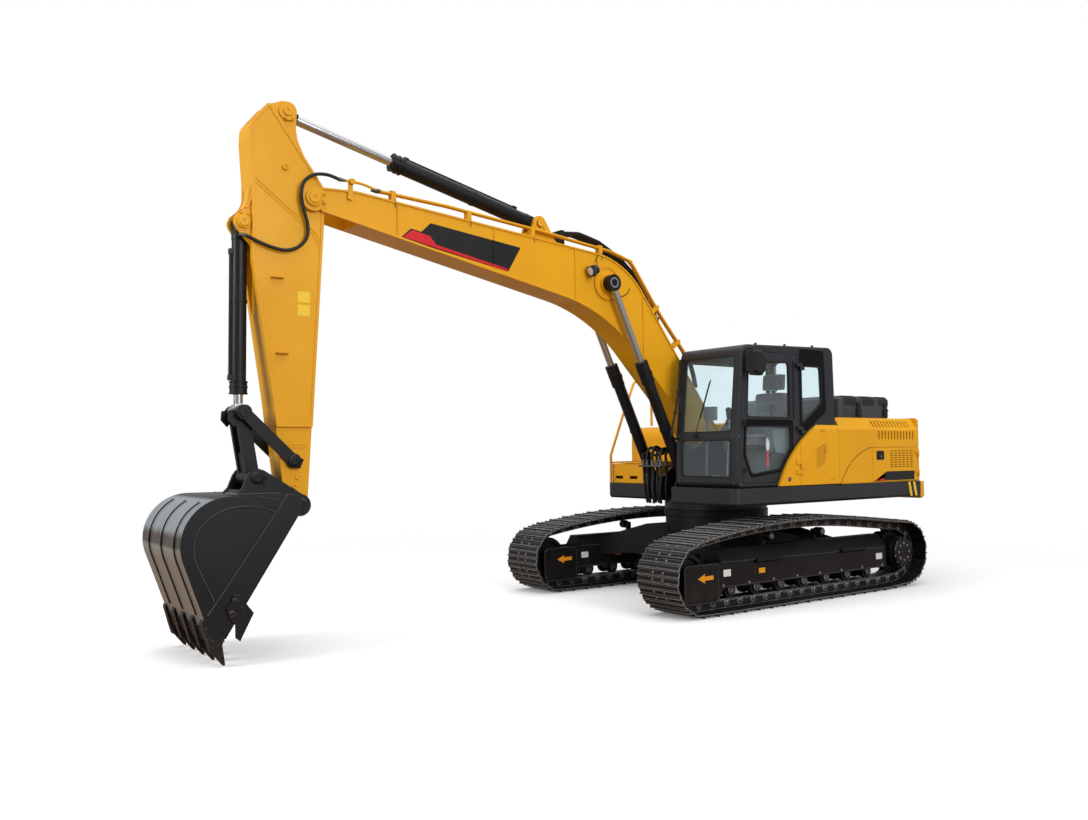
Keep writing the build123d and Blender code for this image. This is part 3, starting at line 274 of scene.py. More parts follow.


# The third colour is the edge colour: worn paint, and on the track shoes also a painted highlight.
PAINTS = {  # tone, second tone, worn colour, roughness, and what differs from the maker's own numbers
    "yellow_paint": ((0.755, 0.360, 0.0070), (0.70, 0.328, 0.0058), (0.36, 0.13, 0.012), 0.42,
                     dict(width=0.004, low=0.12, top=0.02, height=0.9, gloss=0.20, relief=0.006)),
    "charcoal_paint": ((0.0235, 0.0255, 0.0305), (0.0185, 0.0200, 0.0245), (0.05, 0.05, 0.055), 0.38,
                       dict(wear_and_highlight_share=0.25, top=0.03, relief=0.008, grain=260.0)),
    "black_paint": ((0.0042, 0.0044, 0.0054), (0.0070, 0.0070, 0.0080), (0.05, 0.05, 0.05), 0.42,
                    dict(wear_and_highlight_share=0.35, low=0.06, top=0.02, height=0.5, gloss=0.24, wear_and_highlight_metal=0.4, relief=0.010)),
    # On the track shoes the bright, nearly unbroken edge colour is worn steel on the grouser tips, made brighter and
    # steadier as a painted highlight.
    "track_steel": ((0.0045, 0.0044, 0.0043), (0.0095, 0.0090, 0.0085), (0.45, 0.455, 0.45), 0.48,
                    dict(wear_and_highlight_share=1.0, width=0.011, low=0.02, top=0.01, height=0.4, gloss=0.28, metal=0.1,
                         wear_and_highlight_metal=0.35, relief=0.03, grain=60.0, cover=0.20)),
    "engine_iron": ((0.05, 0.05, 0.05), (0.09, 0.08, 0.07), (0.3, 0.3, 0.3), 0.6,
                    dict(wear_and_highlight_share=0.5, low=0.0, top=0.4, metal=0.4, wear_and_highlight_metal=0.9, gloss=0.5, relief=0.1, grain=30.0)),
    "pin_steel": ((0.13, 0.13, 0.13), (0.085, 0.085, 0.085), (0.40, 0.40, 0.40), 0.40,
                  dict(wear_and_highlight_share=0.7, low=0.05, top=0.03, metal=0.8, wear_and_highlight_metal=1.0, gloss=0.5, relief=0.02)),
    "tooth_steel": ((0.0055, 0.0055, 0.0060), (0.011, 0.0105, 0.010), (0.26, 0.25, 0.23), 0.42,
                    dict(wear_and_highlight_share=0.75, width=0.009, low=0.05, top=0.02, height=0.5, gloss=0.28, metal=0.1,
                         wear_and_highlight_metal=0.8, relief=0.04, grain=40.0, cover=-0.04)),
    "black_rubber": ((0.0060, 0.0060, 0.0062), (0.0090, 0.0090, 0.0092), (0.03, 0.03, 0.03), 0.48,
                     dict(top=0.03, relief=0.01, grain=300.0)),
    "hood_plastic": ((0.040, 0.045, 0.054), (0.030, 0.034, 0.042), (0.08, 0.08, 0.085), 0.48,
                     dict(low=0.0, top=0.03, gloss=0.35, relief=0.02, grain=220.0)),
    "cab_trim_grey": ((0.15, 0.165, 0.175), (0.11, 0.12, 0.13), (0.25, 0.25, 0.25), 0.55,
                      dict(wear_and_highlight_share=0.1, low=0.0, top=0.05, gloss=0.35, relief=0.02, grain=240.0)),
    # A lighter grey for thin rims and weld beads: a painted highlight along edges.
    "edge_highlight_grey": ((0.060, 0.061, 0.064), (0.035, 0.036, 0.038), (0.16, 0.16, 0.16), 0.35,
                   dict(wear_and_highlight_share=0.4, low=0.05, gloss=0.4, wear_and_highlight_metal=0.3, relief=0.01)),
    "label_orange": ((0.80, 0.31, 0.012), (0.74, 0.27, 0.010), (0.30, 0.12, 0.03), 0.42, dict(wear_and_highlight_share=0.3)),
    "label_white": ((0.72, 0.72, 0.72), (0.64, 0.64, 0.64), (0.35, 0.33, 0.30), 0.42, dict(wear_and_highlight_share=0.3)),
    "label_yellow": ((0.86, 0.56, 0.012), (0.80, 0.50, 0.010), (0.40, 0.22, 0.02), 0.40, {}),
    # Black print on decals, also used as painted shade in slots and holes.
    "black_print_and_shade": ((0.0075, 0.0075, 0.0085), (0.0100, 0.0100, 0.0110), (0.04, 0.03, 0.02), 0.36, dict(gloss=0.28)),
    "label_red": ((0.62, 0.008, 0.016), (0.54, 0.006, 0.013), (0.25, 0.03, 0.02), 0.38, {}),
    "lamp_glass": ((0.70, 0.71, 0.72), (0.50, 0.52, 0.54), (0.7, 0.7, 0.7), 0.14,
                   dict(wear_and_highlight_share=0.0, low=0.0, coat=1.0, gloss=0.5, relief=0.05, grain=90.0)),
    "dark_glass": ((0.0022, 0.0024, 0.0028), (0.0028, 0.0030, 0.0035), (0.01, 0.01, 0.01), 0.26,
                   dict(wear_and_highlight_share=0.1, low=0.0, gloss=0.10, relief=0.001)),
    "screen": ((0.012, 0.016, 0.022), (0.020, 0.026, 0.034), (0.05, 0.05, 0.05), 0.18,
               dict(wear_and_highlight_share=0.1, low=0.0, top=0.05, gloss=0.5, relief=0.002)),
}
FINISHES = {name: painted(name, *look, **numbers) for name, (*look, numbers) in PAINTS.items()}
print("finishes:", ", ".join(FINISHES))

# %% [markdown]
# The bucket leaves the yard black all over, and the ground scrapes its curved back down
# to bare steel in streaks that run the way it digs. A mask does that: it is high where
# the surface faces forward, below the ears, and noise stretched along the digging way
# breaks it. Over the bare steel a painted reflection is laid by the way the surface faces:
# pale blue-grey where it faces up, dark brown at the bend, and dull beige where it faces down.

# %% Bucket steel, scraped on its back
def bucket_steel():
    """Black paint that gives way to bare steel on the back, with a painted reflection: pale above, dark brown at the
    bend, beige below.
    """
    made = painted("bucket_steel", (0.0040, 0.0050, 0.0078), (0.0058, 0.0068, 0.0100), (0.11, 0.105, 0.10), 0.38,
                   wear_and_highlight_share=0.30, low=0.02, top=0.01, height=0.6, gloss=0.28, wear_and_highlight_metal=0.7, relief=0.008, grain=50.0)
    tree, shader = made.node_tree, made.node_tree.nodes["Principled BSDF"]
    where = object_place(tree)
    stretch = add_node(tree, "ShaderNodeMapping")
    feed(tree, stretch, Vector=where, Scale=(0.8, 22.0, 0.8))
    streaks = noise(tree, stretch.outputs["Vector"], 1.4, 6.0, 0.65)
    way = face_way(tree)
    below_ears = ramp(tree, split(tree, where)["Z"], 1.385, 1.365)
    bare = calc(tree, "MULTIPLY", ramp(tree, way["X"], 0.22, 0.42), ramp(tree, streaks, 0.22, 0.40), clamp=True)
    bare = calc(tree, "MULTIPLY", bare, below_ears)
    # The bare steel's three tones are a painted reflection, chosen by the way the surface faces: pale sky above, dark
    # brown at the bend, beige floor below.
    upper = mix_colour(tree, streaks, (0.20, 0.235, 0.245), (0.40, 0.44, 0.45))
    lower = mix_colour(tree, streaks, (0.195, 0.188, 0.160), (0.32, 0.312, 0.275))
    bend = mix_colour(tree, streaks, (0.030, 0.020, 0.014), (0.105, 0.070, 0.050))
    # The streaks make the bands of the painted reflection wander a little.
    reflection_facing = calc(tree, "MULTIPLY", calc(tree, "SUBTRACT", streaks, 0.5), 0.16)
    reflection_facing = calc(tree, "ADD", way["Z"], reflection_facing)
    steel = mix_colour(tree, ramp(tree, reflection_facing, -0.10, -0.02), lower, bend)
    steel = mix_colour(tree, ramp(tree, reflection_facing, 0.14, 0.34), steel, upper)
    old = {key: shader.inputs[key].links[0].from_socket for key in ("Base Color", "Roughness", "Metallic")}
    feed(tree, shader, Base_Color=mix_colour(tree, bare, old["Base Color"], steel),
         Roughness=mix_number(tree, bare, old["Roughness"], 0.34), Metallic=mix_number(tree, bare, old["Metallic"], 0.45))
    return made


def chrome_rod():
    """Hard chrome: a fine mottle in its tone and its roughness, and no dents."""
    made, tree, shader = blank("chrome_rod")
    fine = noise(tree, object_place(tree), 160.0, 2.0)
    dust = use_group(tree, DUST, Height=0.5, Low=0.0, Top=0.06, Scale=6.0)
    tone = mix_colour(tree, fine, (0.43, 0.435, 0.45), (0.52, 0.525, 0.54))
    feed(tree, shader, Metallic=1.0, Base_Color=mix_colour(tree, dust, tone, DUST_COLOUR),
         Roughness=mix_number(tree, fine, 0.16, 0.24))
    return made


def glass():
    """Tinted safety glass with a little dust, seen through."""
    made, tree, shader = blank("glass")
    dust = use_group(tree, DUST, Height=2.2, Low=0.25, Top=0.0, Scale=2.0)
    feed(tree, shader, Base_Color=mix_colour(tree, dust, (0.86, 0.955, 0.985), (0.84, 0.90, 0.91)),
         Roughness=mix_number(tree, dust, 0.0, 0.02), Transmission_Weight=0.97, IOR=1.22)
    return made


def seat_fabric():
    """Woven seat cloth: crossed threads and a soft sheen."""
    made, tree, shader = blank("seat_fabric")
    where = object_place(tree)
    threads = []
    for axis in ("X", "Z"):
        wave = add_node(tree, "ShaderNodeTexWave", wave_type="BANDS", bands_direction=axis)
        feed(tree, wave, Vector=where, Scale=90.0, Distortion=0.6)
        threads.append(wave.outputs["Fac"])
    weave = calc(tree, "MULTIPLY", *threads)
    bump = add_node(tree, "ShaderNodeBump")
    feed(tree, bump, Strength=0.4, Distance=0.001, Height=weave)
    feed(tree, shader, Base_Color=mix_colour(tree, weave, (0.085, 0.09, 0.095), (0.19, 0.20, 0.21)),
         Roughness=0.9, Sheen_Weight=0.4, Normal=bump.outputs["Normal"])
    return made


for make in (bucket_steel, chrome_rod, glass, seat_fabric):
    FINISHES[make.__name__] = make()
print("finishes in all:", len(FINISHES))

# %% [markdown]
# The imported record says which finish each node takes. Every node's object gets that
# material in its first slot, and its mesh stays as it is.

# %% Dress the nodes
for part in frame["record"]["subparts"]:
    shown = nodes[part["node"]]
    shown.data.materials.clear()
    shown.data.materials.append(FINISHES[part["material_slot"]])
nodes["hood"].data.materials[0] = FINISHES["hood_plastic"]
nodes["consoles"].data.materials[0] = FINISHES["cab_trim_grey"]
print("dressed:", len(nodes))

# %% [markdown]
# The small pieces are made in mesh code from a few shapes. A turned shape stands for
# bolts, caps and rings, a slab for plates and labels, a tube for hoses and wires, and a
# gasket for seals. Each builder adds to a shared mesh, so that one finish on one body is
# one object, however many bolts it has. Most pieces are told as a list of such shapes,
# each with its builder and what that takes.

# %% Shapes that pieces are made of
UP, FORWARD, LEFT = (0, 0, 1), (1, 0, 0), (0, 1, 0)


def square_to(axis):
    """An axis and two directions square to it."""
    along = Vector(axis).normalized()
    side = along.orthogonal().normalized()
    return along, side, along.cross(side)


def close(bm, rings, hollow=False):
    """Join rings of points with faces; cap the open ends, or join them for a hollow ring."""
    for a, b in zip(rings, rings[1:] + (rings[:1] if hollow else [])):
        count = max(len(a), len(b))
        for i in range(count):
            corners = [a[i % len(a)], a[(i + 1) % len(a)], b[(i + 1) % len(b)], b[i % len(b)]]
            face = list(dict.fromkeys(corners))
            if len(face) > 2:
                bm.faces.new(face)
    for ring in () if hollow else (rings[0], rings[-1]):
        if len(ring) > 2:
            bm.faces.new(ring)


def turned(bm, at, axis, profile, sides=24, hollow=False):
    """A shape turned about an axis through a point, from (distance along it, radius) pairs."""
    along, side, up = square_to(axis)
    centre, rings = place(*at), []
    for distance, radius in profile:
        middle = centre + along * distance
        if radius < 1e-6:
            rings.append([bm.verts.new(middle)])
            continue
        turns = [2 * math.pi * i / sides for i in range(sides)]
        rings.append([bm.verts.new(middle + (side * math.cos(t) + up * math.sin(t)) * radius) for t in turns])
    close(bm, rings, hollow)


def button(bm, at, axis, foot, top, height, sides, dish=None):
    """A low boss with its radius at foot and top; a dish (rim, floor, level) can be sunk in it."""
    sunk = [(height, dish[0]), (dish[2], dish[1]), (dish[2], 0)] if dish else [(height, 0)]
    turned(bm, at, axis, [(0, foot), (height, top)] + sunk, sides)


def bolt(bm, at, axis, size=0.014, height=0.011):
    """A hexagon head with rounded corners on a washer."""
    button(bm, at, axis, size * 1.25, size * 1.25, 0.003, 12)
    turned(bm, at, axis, [(0.002, size), (height * 0.8, size), (height, size * 0.82), (height, 0)], 6)


def ring_of(bm, middle, axis, radius, count, size, height):
    """Bolts in a ring about an axis."""
    _, side, up = square_to(axis)
    for i in range(count):
        t = 2 * math.pi * i / count
        bolt(bm, Vector(middle) + (side * math.cos(t) + up * math.sin(t)) * radius, axis, size, height)


def rounded(points, radius, steps=4):
    """An outline with its corners rounded."""
    made = []
    for before, here, after in zip(points[-1:] + points[:-1], points, points[1:] + points[:1]):
        here, before, after = Vector(here), Vector(before), Vector(after)
        to_before, to_after = (before - here).normalized(), (after - here).normalized()
        reach = min(radius, (before - here).length / 2.05, (after - here).length / 2.05)
        for i in range(steps + 1):
            share = i / steps
            a, b = here + to_before * reach, here + to_after * reach
            made.append(a.lerp(here, share).lerp(here.lerp(b, share), share))
    return made


def oblong(x0, x1, z0, z1, radius=0.006, steps=3):
    """A rectangle with rounded corners."""
    return rounded([(x0, z0), (x1, z0), (x1, z1), (x0, z1)], radius, steps)


SPREAD = {
    "X": lambda a, b, depth: place(depth, a, b),
    "Y": lambda a, b, depth: place(a, depth, b),
    "Z": lambda a, b, depth: place(a, b, depth),
}


def slab(bm, axis, points, low, high, edge=0.0):
    """A plate with a flat outline, from low to high along an axis, its rims eased."""
    rings = [[bm.verts.new(SPREAD[axis](p[0], p[1], depth)) for p in points] for depth in (low, high)]
    close(bm, rings)
    if edge:
        rims = [e for ring in rings for v in ring for e in v.link_edges if e.other_vert(v) in ring]
        bmesh.ops.bevel(bm, geom=list(dict.fromkeys(rims)), offset=edge, segments=2, affect="EDGES")


def plate(bm, face, points, thick=0.0012, edge=0.0, side=None):
    """A plate on a side face, told by its (x, z) outline; it stands outward, or towards side."""
    low, high = sorted((face, face + (side or math.copysign(1, face)) * thick))
    slab(bm, "Y", points, low, high, edge)


def gasket(bm, axis, points, low, high, width):
    """A flat ring that follows an outline, for seals and frames."""
    count, middle = len(points), sum((Vector(p) for p in points), Vector((0, 0))) / len(points)
    inner = []
    for i, here in enumerate(points):
        here = Vector(here)
        along = (Vector(points[(i + 1) % count]) - Vector(points[i - 1])).normalized()
        inward = Vector((-along.y, along.x))
        inward = inward if inward.dot(middle - here) > 0 else -inward
        inner.append(here + inward * width)
    border(bm, points, inner, low, high, SPREAD[axis])


def border(bm, outer, inner, low, high, spread):
    """A flat ring between two outlines, from low to high."""
    rings = ((outer, low), (outer, high), (inner, high), (inner, low))
    close(bm, [[bm.verts.new(spread(p[0], p[1], depth)) for p in ring] for ring, depth in rings], hollow=True)


def smooth_line(points, steps):
    """Points along a smooth line through some points."""
    made = []
    padded_line = [points[0]] + list(points) + [points[-1]]
    for a, b, c, d in zip(padded_line, padded_line[1:], padded_line[2:], padded_line[3:]):
        a, b, c, d = Vector(a), Vector(b), Vector(c), Vector(d)
        for i in range(steps):
            t = i / steps
            bend = (2 * a - 5 * b + 4 * c - d) * t * t + (3 * b - a - 3 * c + d) * t ** 3
            made.append((2 * b + (c - a) * t + bend) / 2)
    return made + [Vector(points[-1])]


def tube(bm, points, radius, sides=10, steps=6):
    """A round tube along a smooth line."""
    line = [place(*p) for p in (smooth_line(points, steps) if steps > 1 else points)]
    rings, side = [], None
    for i, here in enumerate(line):
        along = (line[min(i + 1, len(line) - 1)] - line[max(i - 1, 0)]).normalized()
        side = along.orthogonal().normalized() if side is None else (side - along * side.dot(along)).normalized()
        up = along.cross(side)
        turns = [2 * math.pi * k / sides for k in range(sides)]
        rings.append([bm.verts.new(here + (side * math.cos(t) + up * math.sin(t)) * radius) for t in turns])
    close(bm, rings)


# %% Put a piece in the scene
def add_mesh(name, body, finish, mesh, turn=38.0):
    """Make an object of a mesh, give it its finish, and let it ride on a body, if one is named."""
    made = bpy.data.objects.new(name, mesh)
    bpy.context.collection.objects.link(made)
    mesh.materials.clear()
    mesh.materials.append(FINISHES[finish])
    mesh.shade_smooth()
    mesh.set_sharp_from_angle(angle=math.radians(turn))
    if body:
        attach(made, body)
    return made


def add_piece(name, body, finish, bm, turn=38.0):
    """The same from a mesh that is still being built."""
    bmesh.ops.remove_doubles(bm, verts=bm.verts, dist=1e-6)
    bmesh.ops.recalc_face_normals(bm, faces=bm.faces)
    mesh = bpy.data.meshes.new(name)
    bm.to_mesh(mesh)
    bm.free()
    return add_mesh(name, body, finish, mesh, turn)


def piece_of(name, body, finish, *shapes, slot=None, turn=38.0):
    """A piece made of shapes, each told as its builder and what it takes."""
    bm = bmesh.new()
    for build, *given in shapes:
        build(bm, *given)
    return add_piece(name, body, finish, bm, turn)


print("mesh helpers ready")

# %% [markdown]
# Each track is a chain of 46 links with a shoe bolted on each. The rigid loop already has
# the shoes and their ribs, so what is missing repeats 46 times: four bolt heads between
# the ribs, and the side plates and pin bosses of the link beneath. One link's fittings are
# modelled once. Geometry Nodes then puts a copy at every shoe, turned along the chain,
# and its result is kept as a plain mesh. The chain's line is told in arcs: round the
# idler in front, over the sagging top run, and round the sprocket behind.

# %% A copy at every point of a line, by Geometry Nodes
def build_repeater():
    """A node tree that puts a part at every point of a line, turned along it."""
    tree = bpy.data.node_groups.new("repeat_along_line", "GeometryNodeTree")
    for key, way, kind in (
        ("Geometry", "INPUT", "Geometry"), ("Part", "INPUT", "Object"), ("Finish", "INPUT", "Material"),
        ("Across", "INPUT", "Vector"), ("Geometry", "OUTPUT", "Geometry"),
    ):
        tree.interface.new_socket(key, in_out=way, socket_type="NodeSocket" + kind)
    way_in, way_out, line, tangent, turn, info, copies, real, paint = (tree.nodes.new(kind) for kind in (
        "NodeGroupInput", "NodeGroupOutput", "GeometryNodeMeshToCurve", "GeometryNodeInputTangent",
        "FunctionNodeAxesToRotation", "GeometryNodeObjectInfo", "GeometryNodeInstanceOnPoints",
        "GeometryNodeRealizeInstances", "GeometryNodeSetMaterial"))
    turn.primary_axis, turn.secondary_axis = "X", "Y"
    info.inputs["As Instance"].default_value = True
    for source, out, target, into in (
        (way_in, "Geometry", line, "Mesh"), (line, "Curve", copies, "Points"), (way_in, "Part", info, "Object"),
        (info, "Geometry", copies, "Instance"), (tangent, "Tangent", turn, "Primary Axis"),
        (way_in, "Across", turn, "Secondary Axis"), (turn, "Rotation", copies, "Rotation"),
        (copies, "Instances", real, "Geometry"), (real, "Geometry", paint, "Geometry"),
        (way_in, "Finish", paint, "Material"), (paint, "Geometry", way_out, "Geometry"),
    ):
        link(tree, source.outputs[out], target.inputs[into])
    return tree


REPEATER = build_repeater()


def repeat_along(name, body, finish, part_bm, points, across):
    """Copies of a part at the points of a closed line, as one plain mesh on one body."""
    part_mesh, line_mesh = bpy.data.meshes.new(name + "_part"), bpy.data.meshes.new(name + "_line")
    bmesh.ops.recalc_face_normals(part_bm, faces=part_bm.faces)
    part_bm.to_mesh(part_mesh)
    part_bm.free()
    line_mesh.from_pydata(points, [(i, (i + 1) % len(points)) for i in range(len(points))], [])
    part, line = bpy.data.objects.new(name + "_part", part_mesh), bpy.data.objects.new(name + "_line", line_mesh)
    for made in (part, line):
        bpy.context.collection.objects.link(made)
    modifier = line.modifiers.new("repeat", "NODES")
    modifier.node_group = REPEATER
    values = {"Part": part, "Finish": FINISHES[finish], "Across": across}
    for item in REPEATER.interface.items_tree:
        if item.in_out == "INPUT" and item.name in values:
            modifier[item.identifier] = values[item.name]
    line.update_tag()
    shown = line.evaluated_get(bpy.context.evaluated_depsgraph_get())
    mesh = bpy.data.meshes.new_from_object(shown)
    mesh.name = name
    line.modifiers.clear()
    for made in (line, part):
        bpy.data.objects.remove(made)
    return add_mesh(name, body, finish, mesh)


print("repeater inputs:", [i.name for i in REPEATER.interface.items_tree if i.in_out == "INPUT"])

# %% The line that the shoes follow
SHOES = 46
TRACK_Y = 1.2  # how far each track's middle lies off the machine's
IDLER, SPROCKET = (1.760, 0.400), (-1.840, 0.425)


def arc(a, b, c, steps=60):
    """Points on the arc from a over b to c, in (x, z)."""
    (ax, az), (bx, bz), (cx, cz) = a, b, c
    d = 2 * (ax * (bz - cz) + bx * (cz - az) + cx * (az - bz))
    a2, b2, c2 = ax * ax + az * az, bx * bx + bz * bz, cx * cx + cz * cz
    x = (a2 * (bz - cz) + b2 * (cz - az) + c2 * (az - bz)) / d
    z = (a2 * (cx - bx) + b2 * (ax - cx) + c2 * (bx - ax)) / d
    start, middle, end = (math.atan2(p[1] - z, p[0] - x) for p in (a, b, c))
    middle = start + (middle - start) % (2 * math.pi)
    end = start + (end - start) % (2 * math.pi)
    if middle > end:
        end -= 2 * math.pi
    radius = math.hypot(ax - x, az - z)
    turns = [start + (end - start) * i / steps for i in range(steps + 1)]
    return [(x + radius * math.cos(t), z + radius * math.sin(t)) for t in turns]


def track_line():
    """The closed line of the shoes' inner faces, from the rear of the ground run."""
    ground, sag = 0.038, 0.025
    front, back = IDLER[1] - ground, SPROCKET[1] - ground - sag
    lean_front, lean_rear = math.radians(76), math.radians(75)
    front_top = (IDLER[0] + front * math.cos(lean_front), IDLER[1] + front * math.sin(lean_front))
    rear_top = (SPROCKET[0] - back * math.cos(lean_rear), SPROCKET[1] + back * math.sin(lean_rear))
    front_low, rear_low = (IDLER[0] - 0.060, ground), (SPROCKET[0] - 0.040, SPROCKET[1] - back)
    carrier = (-0.900, 0.875)
    line = [(-1.450, ground)] + arc(front_low, (IDLER[0] + front, IDLER[1]), front_top)
    line += arc(front_top, (0.0, 0.915), carrier)[1:]
    return line + arc(rear_top, (SPROCKET[0] - back, SPROCKET[1]), rear_low)


def spaced(line, count):
    """Points at equal steps along a closed line."""
    ring = line + [line[0]]
    lengths = [math.dist(a, b) for a, b in zip(ring, ring[1:])]
    total, made, index, gone = sum(lengths), [], 0, 0.0
    for i in range(count):
        want = total * i / count
        while gone + lengths[index] < want:
            gone += lengths[index]
            index += 1
        share = (want - gone) / lengths[index]
        a, b = ring[index], ring[index + 1]
        made.append((a[0] + (b[0] - a[0]) * share, a[1] + (b[1] - a[1]) * share))
    return made


def shoe_fittings():
    """One link: four shoe bolts outside, and two side plates with pin bosses inside."""
    bm, home = bmesh.new(), -SWING_X
    for x in (-0.036, 0.036):
        for y in (-0.075, 0.075):
            bolt(bm, (home + x, y, 0.0125), UP, 0.011, 0.010)
    waist = [
        (-0.112, -0.062), (-0.085, -0.088), (-0.040, -0.090), (0.0, -0.080), (0.040, -0.090),
        (0.085, -0.088), (0.112, -0.062), (0.104, -0.030), (0.060, -0.004), (-0.060, -0.004),
        (-0.104, -0.030),
    ]
    for side, near in ((-1, -0.1115), (1, 0.0955)):
        slab(bm, "Y", [(home + x, z) for x, z in waist], near, near + 0.016)
        for x in (-0.083, 0.083):
            button(bm, (home + x, side * 0.111, -0.058), (0, side, 0), 0.021, 0.019, 0.007, 10)
    return bm


hinges = spaced(track_line(), SHOES)
middles = [((a[0] + b[0]) / 2, (a[1] + b[1]) / 2) for a, b in zip(hinges, hinges[1:] + hinges[:1])]
for tag, side in SIDES:
    points = [place(x, side * TRACK_Y, z) for x, z in middles]
    made = repeat_along(f"link_fittings_{tag}", "undercarriage", "track_steel", shoe_fittings(), points, (0, -1, 0))
    print(made.name, "faces:", len(made.data.polygons))

# %% [markdown]
# Round the undercarriage the eye finds bolts: in rings on the drive's cover and round the
# slew ring, and in a row over the rollers, whose ends have dimpled caps. Beside them sit
# the idler's cover with its round adjusting hole and a direction arrow, two pale blank
# plates and an orange one. Thin lighter rims along the edges of the track frames are
# painted highlights, and black plates in the frame's holes are painted shade.

# %% Undercarriage: bolts and covers
ROLLERS, ROLLER_STEP = 7, 0.400
bm = bmesh.new()
for _, side in SIDES:
    out = (0, side, 0)
    ring_of(bm, (SPROCKET[0], side * (TRACK_Y + 0.205), SPROCKET[1]), out, 0.168, 12, 0.009, 0.008)
    ring_of(bm, (SPROCKET[0], side * (TRACK_Y + 0.222), SPROCKET[1]), out, 0.105, 8, 0.012, 0.009)
    for i in range(ROLLERS):
        for way in (side, -side):
            at = (-1.230 + ROLLER_STEP * i, side * TRACK_Y + way * 0.1235, 0.225)
            button(bm, at, (0, way, 0), 0.046, 0.042, 0.004, 20, (0.018, 0.016, 0.002))
    for x in (-0.450, 0.450):
        button(bm, (x, side * (TRACK_Y + 0.0745), 0.745), out, 0.032, 0.028, 0.006, 18)
        bolt(bm, (x, side * (TRACK_Y + 0.080), 0.745), out, 0.010, 0.008)
    for i in range(ROLLERS + 1):
        bolt(bm, (-1.48 + ROLLER_STEP * i, side * (TRACK_Y + 0.1505), 0.285), out, 0.012, 0.010)
add_piece("undercarriage_bolts", "undercarriage", "track_steel", bm)

piece_of("slew_bolts", "undercarriage", "pin_steel", (ring_of, (0, 0, 0.9055), UP, 0.600, 36, 0.013, 0.012))

FRAME_SIDES = [(middle, side) for middle in (TRACK_Y, -TRACK_Y) for side in (1, -1)]
bm = bmesh.new()
for middle, side in FRAME_SIDES:
    face, out = middle + side * 0.148, (0, side, 0)
    plate(bm, face, oblong(1.395, 1.880, 0.130, 0.515, 0.045, 4), 0.004, 0.001, side)
    button(bm, (1.745, face + side * 0.004, 0.400), out, 0.034, 0.032, 0.005, 24, (0.024, 0.022, 0.001))
    for x, z in ((1.43, 0.165), (1.835, 0.165), (1.835, 0.48), (1.43, 0.48)):
        bolt(bm, (x, face + side * 0.004, z), out, 0.010, 0.008)
add_piece("idler_covers", "undercarriage", "black_paint", bm)

# %% Undercarriage: direction arrows, blank plates, painted shade in the frame's holes and painted highlights on its edges
ARROW = [
    (1.700, 0.382), (1.590, 0.432), (1.600, 0.402), (1.470, 0.406), (1.470, 0.362), (1.600, 0.358), (1.592, 0.330),
]
arrows, pale, orange, hole_shade, edges = (bmesh.new() for _ in range(5))
for middle, side in FRAME_SIDES:
    cover, web = middle + side * 0.1525, middle + side * 0.1503
    plate(arrows, cover, ARROW, side=side)
    plate(pale, web, oblong(1.205, 1.318, 0.375, 0.448), side=side)
    plate(pale, web, oblong(-1.485, -1.360, 0.358, 0.432), side=side)
    plate(orange, web, oblong(0.660, 0.763, 0.368, 0.424), side=side)
    # Black plates over the frame's slot holes are painted shade.
    plate(hole_shade, web, oblong(0.805, 0.850, 0.352, 0.462, 0.020), side=side)
    # Thin lighter tubes along the frame's top and bottom edges and round the idler cover are painted highlights.
    for z0, z1 in ((0.528, 0.492), (0.269, 0.265)):
        tube(edges, [(1.330, middle + side * 0.150, z0), (-1.520, middle + side * 0.150, z1)], 0.0045, 8, 1)
    rim = oblong(1.392, 1.884, 0.126, 0.520, 0.045, 4)
    tube(edges, [(p.x, middle + side * 0.148, p.y) for p in rim + rim[:1]], 0.0045, 8, 1)
for name, finish, bm, slot in (
    ("travel_arrows", "label_orange", arrows, "yellow_paint"),
    ("blank_plates_white", "label_white", pale, "yellow_paint"),
    ("blank_plates_orange", "label_orange", orange, "yellow_paint"),
    ("frame_holes", "black_print_and_shade", hole_shade, "black_paint"),
    ("frame_edges", "edge_highlight_grey", edges, "black_paint"),
):
    add_piece(name, "undercarriage", finish, bm)
print("undercarriage dressed")

# %% [markdown]
# The working gear is a chain of pins. Every pin that shows gets what holds it: a raised
# cap with a dimple in its middle and a small keeper plate with two bolts.

# %% Pins, caps and keepers
PINS = {
    "boom_tip": (5.382, 4.063), "lift_foot": (0.780, 1.315), "lift_eye": (1.875, 3.600), "crowd_foot": (2.755, 4.190),
    "crowd_eye": (5.602, 4.843), "arm_tip": (5.515, 1.258), "curl_foot": (6.003, 3.776), "rocker": (5.558, 1.656),
    "link_top": (6.009, 2.087), "link_low": (5.911, 1.513),
}


def cap(bm, pin, y, radius, thick=0.012, flange=None):
    """A round cap on a pin's end, outside of y, with a flange that starts at its own y."""
    side = math.copysign(1, y)
    x, z = PINS[pin]
    if flange:
        start, wide = flange
        reach = abs(y) - start + 0.003
        rim = [(0, wide), (reach, wide), (reach + 0.003, wide - 0.005), (reach + 0.003, 0)]
        turned(bm, (x, side * start, z), (0, side, 0), rim, 36)
    profile = [
        (0, radius), (thick * 0.7, radius), (thick, radius * 0.93), (thick, radius * 0.34),
        (thick * 0.6, radius * 0.30), (thick * 0.6, 0),
    ]
    turned(bm, (x, y, z), (0, side, 0), profile, 30)


def keeper(bm, pin, y, away, degrees, length=0.11):
    """A keeper plate beside a pin, held by two bolts; degrees tell which way from the pin."""
    side, turn = math.copysign(1, y), math.radians(degrees)
    out = Vector((math.cos(turn), math.sin(turn)))
    across = Vector((-out.y, out.x))
    middle = Vector(PINS[pin]) + out * away
    corners = [middle + out * a + across * b * length for a, b in (
        (-0.016, -0.5), (0.016, -0.5), (0.016, 0.5), (-0.016, 0.5))]
    plate(bm, y, rounded(corners, 0.012), 0.010, 0.0015)
    for share in (-0.34, 0.34):
        at = middle + across * length * share
        bolt(bm, (at.x, y + side * 0.010, at.y), (0, side, 0), 0.011, 0.010)


